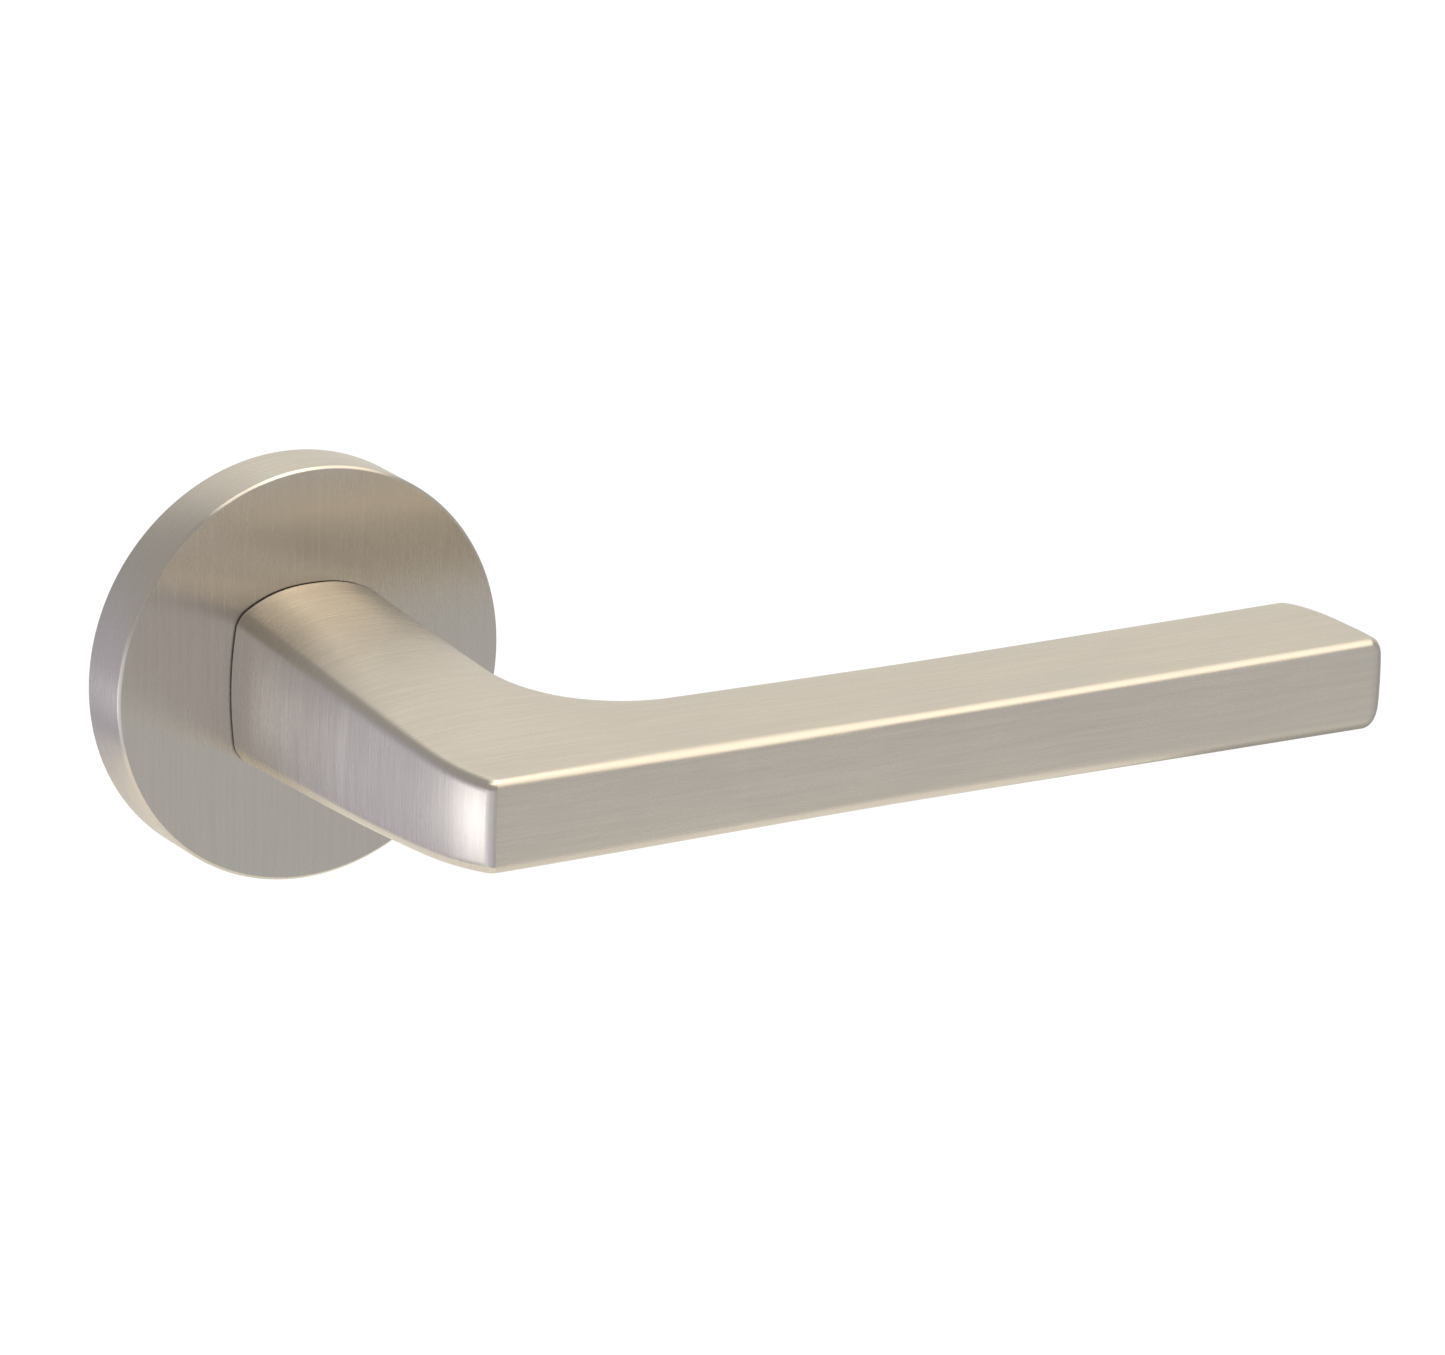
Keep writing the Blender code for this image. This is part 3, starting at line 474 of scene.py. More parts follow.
def tube(path, radius, sides=24):
    """A round wire along a path, with a quarter-round worked into each of its ends."""
    path = np.asarray(path, float)
    ahead = np.gradient(path, axis=0)
    ahead /= np.linalg.norm(ahead, axis=1, keepdims=True)
    side = np.cross(ahead, (0.0, 1.0, 0.0))
    side /= np.linalg.norm(side, axis=1, keepdims=True)
    curl = np.linspace(0.0, math.pi / 2, 6)
    shift = radius * (1.0 - np.cos(curl))[:, None]
    last = len(path) - 1
    row = np.concatenate([np.zeros(6, int), np.arange(1, last), np.full(6, last)])
    middle = path[row]
    middle[:6] += ahead[0] * shift
    middle[-6:] -= ahead[-1] * shift[::-1]
    size = np.concatenate([np.sin(curl), np.ones(last - 1), np.sin(curl)[::-1]])
    upward = np.cross(side, ahead)
    turn = np.linspace(0.0, math.tau, sides + 1)
    turn[-1] = 0.0
    round_way = np.cos(turn)[:, None] * side[row][:, None] + np.sin(turn)[:, None] * upward[row][:, None]
    points = middle[:, None] + radius * size[:, None, None] * round_way
    return planar_patch(points, 0, 2)


def run_out(heights, pitch):
    """Fades a thread over its first and its last half turn, so that it starts and ends cleanly."""
    ends = np.minimum(heights - heights[0], heights[-1] - heights)
    return np.clip(2.0 * ends / pitch, 0.0, 1.0)


def thread_wave(turn, heights, pitch):
    """A right-handed V thread as a triangle wave of height and angle, 0 at the root, 1 at the crest."""
    phase = np.mod(heights / pitch + turn / math.tau, 1.0)
    return np.abs(2.0 * phase - 1.0) * run_out(heights, pitch)


def outside_thread(turn, heights, pitch, depth):
    """How far an outside thread lies below its crests, with plain ends."""
    return depth * (1.0 - thread_wave(turn, heights, pitch)) * run_out(heights, pitch)


def full_turn(steps):
    turn = np.linspace(0.0, math.tau, steps + 1)
    turn[-1] = 0.0
    return turn


def plain_rings(profile, turn, centre=(0.0, 0.0)):
    """Round rings from pairs of radius and y."""
    profile = np.asarray(profile, float)
    radii = np.broadcast_to(profile[:, :1], (len(profile), len(turn)))
    return rings(radii, profile[:, 1:], turn, centre)


def weld(name, patches):
    """One mesh from patches, with coinciding points made one and collapsed faces left out."""
    starts = np.cumsum([0] + [len(points) for points, _, _ in patches[:-1]])
    points = np.concatenate([points for points, _, _ in patches])
    brush = np.concatenate([brush for _, brush, _ in patches])
    quads = np.concatenate([quads + start for start, (_, _, quads) in zip(starts, patches)])
    key = np.round(points / WELD).astype(np.int64)
    _, first, index = np.unique(key, axis=0, return_index=True, return_inverse=True)
    joined = index.reshape(-1)[quads]
    kept = joined != np.roll(joined, -1, axis=1)
    whole = kept.sum(axis=1) >= 3
    joined, kept, quads = joined[whole], kept[whole], quads[whole]
    sizes = kept.sum(axis=1)
    mesh = bpy.data.meshes.new(name)
    mesh.vertices.add(len(first))
    mesh.vertices.foreach_set("co", points[first].astype(np.float32).ravel())
    mesh.loops.add(int(sizes.sum()))
    mesh.loops.foreach_set("vertex_index", joined[kept].astype(np.int32))
    mesh.polygons.add(len(sizes))
    mesh.polygons.foreach_set("loop_start", (np.cumsum(sizes) - sizes).astype(np.int32))
    mesh.update(calc_edges=True)
    layer = mesh.uv_layers.new(name="Brushing")
    layer.data.foreach_set("uv", brush[quads[kept]].astype(np.float32).ravel())
    return mesh


def face_out(mesh):
    """Turns a mesh's faces out, and gives how many of its edges don't close."""
    bm = bmesh.new()
    bm.from_mesh(mesh)
    bmesh.ops.recalc_face_normals(bm, faces=bm.faces)
    if bm.calc_volume(signed=True) < 0.0:
        bmesh.ops.reverse_faces(bm, faces=bm.faces)
    open_edges = sum(1 for edge in bm.edges if not edge.is_manifold)
    bm.to_mesh(mesh)
    bm.free()
    return open_edges


def ring_section(inner, outer, front, back):
    """Corners of a plain ring's section, as pairs of radius and y."""
    return [(inner, front), (outer, front), (outer, back), (inner, back)]


def bar_mesh(radius, start, end, centre, steps=64, end_radius=None):
    """A round bar or cone along Y."""
    far = radius if end_radius is None else end_radius
    profile = [(0.0, start), (radius, start), (far, end), (0.0, end)]
    return weld("bar", [turned_patch(turned(profile, steps, centre))])


def box_mesh(low, high):
    """A plain box between two corners."""
    mesh = bpy.data.meshes.new("box")
    bm = bmesh.new()
    bmesh.ops.create_cube(bm, size=1.0)
    low, high = Vector(low), Vector(high)
    size = high - low
    bmesh.ops.scale(bm, verts=bm.verts, vec=size)
    bmesh.ops.translate(bm, verts=bm.verts, vec=(low + high) / 2)
    bm.to_mesh(mesh)
    bm.free()
    return mesh


def sector_mesh(radii, heights, angles):
    """A slice of a ring between two radii, two depths and two angles in degrees."""
    turn = np.radians(np.linspace(angles[0], angles[1], SECTOR_STEPS + 1))
    corners = ring_section(*radii, *heights)
    loop = plain_rings(corners + corners[:1], turn)
    patches = [planar_patch(loop, 0, 2)]
    for end in (0, -1):
        patches.append(planar_patch(np.stack([loop[:2, end], loop[3:1:-1, end]], axis=1), 0, 1))
    return weld("sector", patches)


def carved(mesh, changes):
    """The mesh after exact Booleans, each given as an operation and the mesh that it takes."""
    face_out(mesh)
    scene = bpy.context.scene.collection.objects
    holder = bpy.data.objects.new("carved", mesh)
    scene.link(holder)
    helpers = []
    for operation, other in changes:
        face_out(other)
        helper = bpy.data.objects.new("carver", other)
        scene.link(helper)
        helpers.append(helper)
        change = holder.modifiers.new(operation, "BOOLEAN")
        change.operation = operation
        change.solver = "EXACT"
        change.object = helper
    bpy.context.view_layer.update()
    finished = holder.evaluated_get(bpy.context.evaluated_depsgraph_get())
    result = bpy.data.meshes.new_from_object(finished)
    for thing in helpers + [holder]:
        used = thing.data
        bpy.data.objects.remove(thing)
        bpy.data.meshes.remove(used)
    bm = bmesh.new()
    bm.from_mesh(result)
    bmesh.ops.remove_doubles(bm, verts=bm.verts, dist=2 * CARVE_STEP)
    bmesh.ops.dissolve_degenerate(bm, edges=bm.edges, dist=CARVE_STEP)
    bmesh.ops.holes_fill(bm, edges=[edge for edge in bm.edges if edge.is_boundary], sides=4)
    bm.to_mesh(result)
    bm.free()
    return result


def finish_piece(name, patches, body, slot, replaced):
    """Welds patches into one closed piece, gives it its finish and puts it on its body."""
    return settle_piece(name, weld(name, patches), body, slot, replaced)


def settle_piece(name, mesh, body, slot, replaced):
    """Turns a mesh's faces out, gives it its finish and hands it to the frame."""
    open_edges = face_out(mesh)
    if open_edges:
        raise RuntimeError(f"{name} has {open_edges} edges that don't close")
    mesh.name = name
    mesh.shade_smooth()
    mesh.set_sharp_from_angle(angle=SHARP_ANGLE)
    mesh.materials.clear()
    mesh.materials.append(finish_of(slot))
    piece = bpy.data.objects.new(name, mesh)
    bpy.context.scene.collection.objects.link(piece)
    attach(piece, body)
    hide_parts(replaced)
    return piece


# ---------------------------------------------------------------------------------------------
# Node groups and finishes


def node(tree, kind, inputs=None, **settings):
    """A node with its settings, and its inputs set to values or linked from sockets."""
    made = tree.nodes.new(kind)
    for key, value in settings.items():
        setattr(made, key, value)
    for socket, value in (inputs or {}).items():
        if isinstance(value, bpy.types.NodeSocket):
            tree.links.new(value, made.inputs[socket])
        else:
            made.inputs[socket].default_value = value
    return made


def arithmetic(tree, operation, *values):
    inputs = dict(enumerate(values))
    return node(tree, "ShaderNodeMath", inputs, operation=operation).outputs[0]


def weighted(tree, *terms):
    """The sum of values, each times its weight."""
    total = 0.0
    for value, weight in terms:
        total = arithmetic(tree, "MULTIPLY_ADD", value, weight, total)
    return total


def ranged(tree, value, low, high, to_low, to_high):
    """A value carried from one range to another, and held inside it."""
    inputs = {"Value": value, "From Min": low, "From Max": high, "To Min": to_low, "To Max": to_high}
    return node(tree, "ShaderNodeMapRange", inputs).outputs["Result"]


def new_group(name, inputs, outputs):
    """A shader group with float or vector inputs and value outputs. Gives its tree and its ends."""
    tree = bpy.data.node_groups.new(name, "ShaderNodeTree")
    for label, kind, default in inputs:
        socket = tree.interface.new_socket(label, in_out="INPUT", socket_type=f"NodeSocket{kind}")
        if default is not None:
            socket.default_value = default
    for label, kind in outputs:
        tree.interface.new_socket(label, in_out="OUTPUT", socket_type=f"NodeSocket{kind}")
    return tree, tree.nodes.new("NodeGroupInput"), tree.nodes.new("NodeGroupOutput")


def use_group(tree, group, inputs):
    return node(tree, "ShaderNodeGroup", inputs, node_tree=group)


def stretched_noise(tree, across, along, width, length, seed, detail):
    """Noise drawn out into lines: its two coordinates are counted in line widths and lengths."""
    x = arithmetic(tree, "DIVIDE", across, width)
    y = arithmetic(tree, "DIVIDE", along, length)
    spot = node(tree, "ShaderNodeCombineXYZ", {"X": x, "Y": y, "Z": seed}).outputs[0]
    inputs = {"Vector": spot, "Scale": 1.0, "Detail": detail, "Roughness": 0.6}
    return node(tree, "ShaderNodeTexNoise", inputs).outputs[0]


def brushed_lines_group():
    """Fine lines over broad ones, with the odd deeper scratch, along v of the brushing map."""
    tree, given, result = new_group(
        "brushed_lines",
        [("Map", "Vector", None), ("Line Width", "Float", 0.0001), ("Line Length", "Float", 0.01)],
        [("Lines", "Float"), ("Streaks", "Float"), ("Scratches", "Float")],
    )
    place, width, length_ = given.outputs[0], given.outputs[1], given.outputs[2]
    parts = node(tree, "ShaderNodeSeparateXYZ", {0: place})
    inputs = {"Vector": place, "Scale": 60.0, "Detail": 1.0}
    drift = node(tree, "ShaderNodeTexNoise", inputs, noise_dimensions="2D").outputs[0]
    wander = arithmetic(tree, "MULTIPLY", arithmetic(tree, "SUBTRACT", drift, 0.5), LINE_WANDER)
    across = arithmetic(tree, "ADD", parts.outputs[0], wander)
    noises = []
    for wider, longer, seed, detail in LINE_LAYERS:
        layer_width = arithmetic(tree, "MULTIPLY", width, wider)
        layer_length = arithmetic(tree, "MULTIPLY", length_, longer)
        layer = stretched_noise(tree, across, parts.outputs[1], layer_width, layer_length, seed, detail)
        noises.append(layer)
    fine, broad, scratch = noises
    tree.links.new(weighted(tree, (fine, 0.68), (broad, 0.32)), result.inputs["Lines"])
    tree.links.new(ranged(tree, broad, 0.3, 0.7, 0.0, 1.0), result.inputs["Streaks"])
    tree.links.new(ranged(tree, scratch, 0.76, 0.86, 0.0, 1.0), result.inputs["Scratches"])
    return tree


def mottling_group():
    """Slow changes from handling and plating, and a fine grain, both by place on the object."""
    tree, given, result = new_group(
        "mottling",
        [("Place", "Vector", None), ("Patch Size", "Float", 0.01), ("Grain Size", "Float", 0.0003)],
        [("Patches", "Float"), ("Grain", "Float")],
    )
    for label, size, detail in (("Patches", "Patch Size", 3.0), ("Grain", "Grain Size", 2.0)):
        scale = arithmetic(tree, "DIVIDE", 1.0, given.outputs[size])
        inputs = {"Vector": given.outputs["Place"], "Scale": scale, "Detail": detail, "Roughness": 0.55}
        noise = node(tree, "ShaderNodeTexNoise", inputs)
        tree.links.new(ranged(tree, noise.outputs[0], 0.3, 0.7, 0.0, 1.0), result.inputs[label])
    return tree


def shared_group(name, build):
    return bpy.data.node_groups.get(name) or build()


def shade_between(tree, amount, colour, darker, lighter):
    """A colour that swings between a darker and a lighter share of itself."""
    ends = [tuple(min(1.0, channel * factor) for channel in colour) for factor in (darker, lighter)]
    inputs = {0: amount, 6: (*ends[0], 1.0), 7: (*ends[1], 1.0)}
    return node(tree, "ShaderNodeMix", inputs, data_type="RGBA").outputs[2]


def new_finish(name, colour, metallic, patch_size, grain_size):
    """A material with its colour, and the mottling that it reads by place on the object."""
    material = bpy.data.materials.new(name)
    material.use_nodes = True
    material.diffuse_color = (*colour, 1.0)
    tree = material.node_tree
    shader = tree.nodes["Principled BSDF"]
    shader.inputs["Metallic"].default_value = metallic
    place = node(tree, "ShaderNodeTexCoord").outputs["Object"]
    inputs = {"Place": place, "Patch Size": patch_size, "Grain Size": grain_size}
    mottle = use_group(tree, shared_group("mottling", mottling_group), inputs)
    return material, tree, shader, mottle.outputs["Patches"], mottle.outputs["Grain"]


def raise_surface(tree, shader, height, depth):
    bump = node(tree, "ShaderNodeBump", {"Height": height, "Distance": depth, "Strength": 1.0})
    tree.links.new(bump.outputs[0], shader.inputs["Normal"])


def satin_nickel(name):
    """Brushed nickel plating: drawn-out reflections, fine lines, and faint streaks of tone."""
    look = bpy.context.scene.door_lever_finish
    base = look.nickel_roughness
    finish = new_finish(name, tuple(look.nickel), 1.0, 16.0 * MM, 0.22 * MM)
    material, tree, shader, patches, grain = finish
    brushing = node(tree, "ShaderNodeUVMap", uv_map="Brushing").outputs[0]
    inputs = {"Map": brushing, "Line Width": look.line_width, "Line Length": look.line_length}
    made = use_group(tree, shared_group("brushed_lines", brushed_lines_group), inputs)
    lines, streaks, scratches = (made.outputs[label] for label in ("Lines", "Streaks", "Scratches"))
    tone = weighted(tree, (patches, 0.15), (lines, 0.5), (streaks, 0.35))
    shade = shade_between(tree, tone, look.nickel, 0.93, 1.06)
    tree.links.new(shade, shader.inputs["Base Color"])
    worn = ranged(tree, lines, 0.35, 0.65, base - 0.035, base + 0.02)
    uneven = weighted(tree, (worn, 1.0), (patches, 0.03), (scratches, 0.05))
    tree.links.new(uneven, shader.inputs["Roughness"])
    shader.inputs["Anisotropic"].default_value = look.nickel_brushing
    direction = node(tree, "ShaderNodeTangent", direction_type="UV_MAP", uv_map="Brushing")
    tree.links.new(direction.outputs[0], shader.inputs["Tangent"])
    height = weighted(tree, (lines, 1.0), (scratches, -0.35), (grain, 0.2))
    raise_surface(tree, shader, height, look.line_depth)
    return material


def grained(setting, name, roughness, metallic, patch_size, grain_size, depth, swing):
    """A cast, plated or moulded finish: mottled tone, grainy height and uneven gloss."""
    colour = tuple(getattr(bpy.context.scene.door_lever_finish, setting))
    finish = new_finish(name, colour, metallic, patch_size * MM, grain_size * MM)
    material, tree, shader, patches, grain = finish
    tone = weighted(tree, (patches, 0.65), (grain, 0.35))
    shade = shade_between(tree, tone, colour, 1.0 - swing, 1.0 + swing)
    tree.links.new(shade, shader.inputs["Base Color"])
    gloss = ranged(tree, patches, 0.0, 1.0, roughness - GLOSS_SWING, roughness + GLOSS_SWING)
    tree.links.new(gloss, shader.inputs["Roughness"])
    raise_surface(tree, shader, grain, depth * MM)
    return material


def finish_of(slot):
    """The material of a slot, made when a piece first needs it."""
    setting, name, *look = GRAINED_FINISHES.get(slot, ("nickel", "satin_nickel_brushed"))
    found = bpy.data.materials.get(name)
    if found:
        return found
    return grained(setting, name, *look) if look else satin_nickel(name)


# ---------------------------------------------------------------------------------------------
# The lever's form


def neck_part(depth):
    """0 where the neck meets the rose, 1 at the front of the elbow."""
    return np.clip((depth - NECK_EDGE) / (GRIP_FRONT - NECK_EDGE), 0.0, 1.0)


def neck_share(x):
    """1 over the neck, falling to 0 along the grip."""
    return 1.0 - smooth((x - NECK_BLEND_START) / NECK_BLEND_LENGTH)


def back_share(depth):
    """0 at the grip's front face, 1 at its back face."""
    return np.clip((GRIP_FRONT - depth) / (GRIP_FRONT - GRIP_BACK), 0.0, 1.0)


def top_height(x, depth):
    neck = mix(TOP_AT_ROSE, TOP_AT_ELBOW, neck_part(depth))
    rise = GRIP_TOP_RISE * ((x - GRIP_LOWEST_X) / GRIP_TOP_RISE_LENGTH) ** 2
    grip = GRIP_TOP + rise + GRIP_BACK_RISE * back_share(depth)
    return mix(grip, neck, neck_share(x))


def bottom_height(x, depth):
    neck = BOTTOM_AT_ROSE - BOTTOM_DROP * neck_part(depth) ** BOTTOM_POWER
    slope = GRIP_BOTTOM_SLOPE * np.maximum(x - GRIP_BOTTOM_START, 0.0)
    grip = GRIP_BOTTOM + slope + GRIP_BACK_DROP * back_share(depth)
    return mix(grip, neck, neck_share(x))


def crown_height(depth):
    """How far the middle of the top and of the bottom stands beyond their corners."""
    fall = np.clip((depth - NECK_EDGE) / CROWN_LENGTH, 0.0, 1.0) ** CROWN_FADE
    return mix(CROWN_AT_ROSE, CROWN_AT_GRIP, fall)


def corner_radii(part, slim=0.0):
    """Corner radii of the section: outer top, inner top, inner bottom, outer bottom."""
    near, elbow, grip = (in_metres(radii) for radii in (RADII_AT_ROSE, RADII_AT_ELBOW, RADII_ON_GRIP))
    return mix(mix(near, elbow, np.reshape(part, (-1, 1))), grip, slim)


def section_outline(half_width, half_height, radii):
    """Rounded rectangles in unit coordinates (across, up), one a row, from mid outer-bottom corner."""
    half_width, half_height = np.reshape(half_width, (-1, 1)), np.reshape(half_height, (-1, 1))
    arcs = []
    for quarter in range(4):
        radius = radii[:, quarter : quarter + 1]
        turn = quarter * math.pi / 2 + np.linspace(0.0, math.pi / 2, ARC_STEPS)
        across = (1, -1, -1, 1)[quarter] * (half_width - radius) + radius * np.cos(turn)
        up = (1, 1, -1, -1)[quarter] * (half_height - radius) + radius * np.sin(turn)
        arcs.append(np.stack([across / half_width, up / half_height], axis=2))
    along = np.linspace(0.0, 1.0, SIDE_STEPS + 1)[1:-1, None]
    pieces = []
    for quarter in range(4):
        start, end = arcs[quarter][:, -1:], arcs[(quarter + 1) % 4][:, :1]
        pieces += [arcs[quarter], mix(start, end, along)]
    outline = np.concatenate(pieces, axis=1)
    outline = np.roll(outline, -(3 * PANEL + ARC_STEPS // 2), axis=1)
    outline = np.concatenate([outline, outline[:, :1]], axis=1)
    return outline[..., 0], outline[..., 1]


def lifted(x, depth, across, up, inset=0.0):
    """Height of a section's point: the side height and, towards the middle, the crown."""
    side = np.where(up > 0, top_height(x, depth), bottom_height(x, depth)) - inset
    return up * side + crown_height(depth) * up * (1.0 - np.abs(across) ** CROWN_POWER)


def neck_sections(inner, outer, part, swell):
    """Sections between rows of inner and outer plan points, their sides swelling a little."""
    middle = (inner + outer) / 2
    half = np.linalg.norm(outer - inner, axis=1) / 2
    heights = top_height(middle[:, 0], middle[:, 1]) + bottom_height(middle[:, 0], middle[:, 1])
    across, up = section_outline(half, heights / 2, corner_radii(part))
    reach = across * (half[:, None] + swell * (1.0 - up**2))
    way = (outer - inner) / (2 * half[:, None])
    x = middle[:, :1] + way[:, :1] * reach
    depth = middle[:, 1:] + way[:, 1:] * reach
    return np.stack([x, -depth, lifted(x, depth, across, up)], axis=2)


def left_side(depth):
    """How far left the neck reaches: it bows out a little and then curves in towards the elbow."""
    bow = NECK_BOW * smooth((depth - NECK_EDGE) / (NECK_WIDEST - NECK_EDGE))
    run = GRIP_FRONT - ELBOW_RADIUS * (1.0 - math.sin(math.atan(ELBOW_SLOPE))) - NECK_WIDEST
    turned_in = (np.maximum(depth - NECK_WIDEST, 0.0) / run) ** 3 * ELBOW_SLOPE * run / 3
    return NECK_LEFT - bow + turned_in


def right_side(depth):
    """How far right the straight neck reaches, as it widens towards the fillet."""
    widening = smooth((depth - NECK_START) / (FILLET_DEPTH - NECK_START))
    return mix(NECK_RIGHT, FILLET_X - FILLET_RADIUS, widening)


def elbow_outline():
    """Plan points of the elbow's outside: the left side, a tight corner, then the front face."""
    lean = math.atan(ELBOW_SLOPE)
    centre = GRIP_FRONT - ELBOW_RADIUS
    depth = np.linspace(FILLET_DEPTH, centre + ELBOW_RADIUS * math.sin(lean), 60)
    side = np.stack([left_side(depth), depth], axis=1)
    turn = np.linspace(lean, math.pi / 2, 40)[1:]
    arc_x = side[-1, 0] + ELBOW_RADIUS * (math.cos(lean) - np.cos(turn))
    arc = np.stack([arc_x, centre + ELBOW_RADIUS * np.sin(turn)], axis=1)
    return side, arc, np.array([[FILLET_X, GRIP_FRONT]])


def elbow_sections():
    """Sections on rays from the fillet's centre, close together round the outer corner."""
    centre = np.array([FILLET_X, FILLET_DEPTH])
    side, arc, front = elbow_outline()
    outline = np.concatenate([side, arc, front])
    angle = np.arctan2(outline[:, 1] - centre[1], outline[:, 0] - centre[0])
    stops = (math.pi, angle[len(side) - 1], angle[len(side) + len(arc) - 1], math.pi / 2)
    turn = steps_between(stops, ELBOW_STEPS)[1:]
    outer = np.stack([np.interp(-turn, -angle, outline[:, axis]) for axis in (0, 1)], axis=1)
    inner = centre + np.stack([np.cos(turn), np.sin(turn)], axis=1) * FILLET_RADIUS
    return neck_sections(inner, outer, np.ones(len(turn)), SWELL_AT_ELBOW)


def straight_neck():
    """Sections square to the door, from the rose to the start of the fillet."""
    depth = np.linspace(NECK_START, FILLET_DEPTH, 37)
    part = np.clip((depth - NECK_EDGE) / NECK_LENGTH, 0.0, 1.0)
    swell = mix(SWELL_AT_ROSE, SWELL_AT_ELBOW, np.clip((depth - NECK_EDGE) / SWELL_LENGTH, 0.0, 1.0))
    inner = np.stack([right_side(depth), depth], axis=1)
    outer = np.stack([left_side(depth), depth], axis=1)
    return neck_sections(inner, outer, part, swell[:, None])


def tip_fall(depth):
    """How far the crowned end falls back from its foremost line."""
    return (depth - TIP_CROWN_DEPTH) ** 2 / (2 * TIP_CROWN_RADIUS)


def grip_sections(shares, insets, advances):
    """Sections along the grip, which bend gradually to the crowned shape of its end."""
    shares, insets, advances = (np.reshape(v, (-1, 1)) for v in (shares, insets, advances))
    half = (GRIP_FRONT - GRIP_BACK) / 2 - insets
    slim = smooth(shares / GRIP_SLIM_SHARE)
    radii = corner_radii(np.ones(len(insets)), slim) + TIP_RADIUS_GAIN * insets
    radii = np.maximum(radii, SMALLEST_RADIUS)
    across, up = section_outline(half, GRIP_HALF_HEIGHT - insets, radii)
    depth = (GRIP_FRONT + GRIP_BACK) / 2 + across * (half + SWELL_ON_GRIP * (1.0 - up**2))
    end = TIP_X - TIP_ROUNDING - tip_fall(depth)
    x = FILLET_X + (end - FILLET_X) * shares + advances
    return np.stack([x, -depth, lifted(x, depth, across, up, insets)], axis=2)


def tip_face(ring):
    """The end face: the last section drawn in to its middle along the crowned end."""
    middle = ring[:-1].mean(axis=0)
    share = np.linspace(0.0, 1.0, 9)[1:, None]
    y = mix(ring[:, 1], middle[1], share)
    z = mix(ring[:, 2], middle[2], share)
    lead = ring[:, 0] - (TIP_X - tip_fall(-ring[:, 1]))
    x = TIP_X - tip_fall(-y) + lead * (1.0 - share)
    return np.stack([x, y, z], axis=2)


def lever_skin():
    """The whole outside of the lever as one grid of sections, rose end first."""
    neck = straight_neck()
    grip = grip_sections(np.linspace(0.0, 1.0, 97)[1:], np.zeros(96), np.zeros(96))
    curl = np.linspace(0.0, math.pi / 2, 11)[1:]
    tip = grip_sections(np.ones(10), TIP_ROUNDING * (1.0 - np.cos(curl)), TIP_ROUNDING * np.sin(curl))
    return np.concatenate([neck, elbow_sections(), grip, tip]), len(neck)


def underside(x, depth):
    """Height of the neck's underside between its corners, at a plan point of the straight neck."""
    left, right = left_side(depth), right_side(depth)
    across = (x - (left + right) / 2) / ((right - left) / 2)
    return -bottom_height(x, depth) - crown_height(depth) * (1.0 - np.abs(across) ** CROWN_POWER)


def socket_wall(x, depth):
    """Height of the socket's lower wall, which is flat."""
    return np.full_like(x, -SOCKET_HALF)


def block_border(points, rows, columns):
    """The closed run of grid points round a block, starting at its first row and column."""
    r0, r1 = rows
    c0, c1 = columns
    return np.concatenate([
        points[r0, c0:c1],
        points[r0:r1, c1],
        points[r1, c1:c0:-1],
        points[r1:r0:-1, c0],
        points[r0, c0 : c0 + 1],
    ])


def cells_outside(points, rows, columns):
    kept = np.ones((points.shape[0] - 1, points.shape[1] - 1), bool)
    kept[rows[0] : rows[1], columns[0] : columns[1]] = False
    return kept


def hole_ring(border, radius, height):
    """A surface that runs from a square border in to a circle round the grub screw's axis."""
    first = math.atan2(border[0, 1] - GRUB_Y, border[0, 0])
    nearby = math.atan2(border[1, 1] - GRUB_Y, border[1, 0])
    way = math.copysign(1.0, math.sin(nearby - first))
    turn = first + way * np.linspace(0.0, math.tau, len(border))
    turn[-1] = first
    circle = np.stack([radius * np.cos(turn), GRUB_Y + radius * np.sin(turn)], axis=1)
    share = np.linspace(0.0, 1.0, 6)[:, None, None]
    plan = mix(border[None, :, :2], circle[None], share)
    points = np.concatenate([plan, height(plan[..., :1], -plan[..., 1:])], axis=2)
    points[0] = border
    return points, turn


def side_patches(side, switch):
    """One side of the lever: brushed upright up to a row of the elbow, and lengthways after it."""
    along = lengths_along(side[:, PANEL // 2][:, None], 0) + NECK_START
    along = np.broadcast_to(along, side.shape[:2])
    upright = np.stack([along, side[..., 2]], axis=2)
    return [
        patch(side[: switch + 1], upright[: switch + 1]),
        patch(side[switch:], upright[switch:, :, ::-1]),
    ]


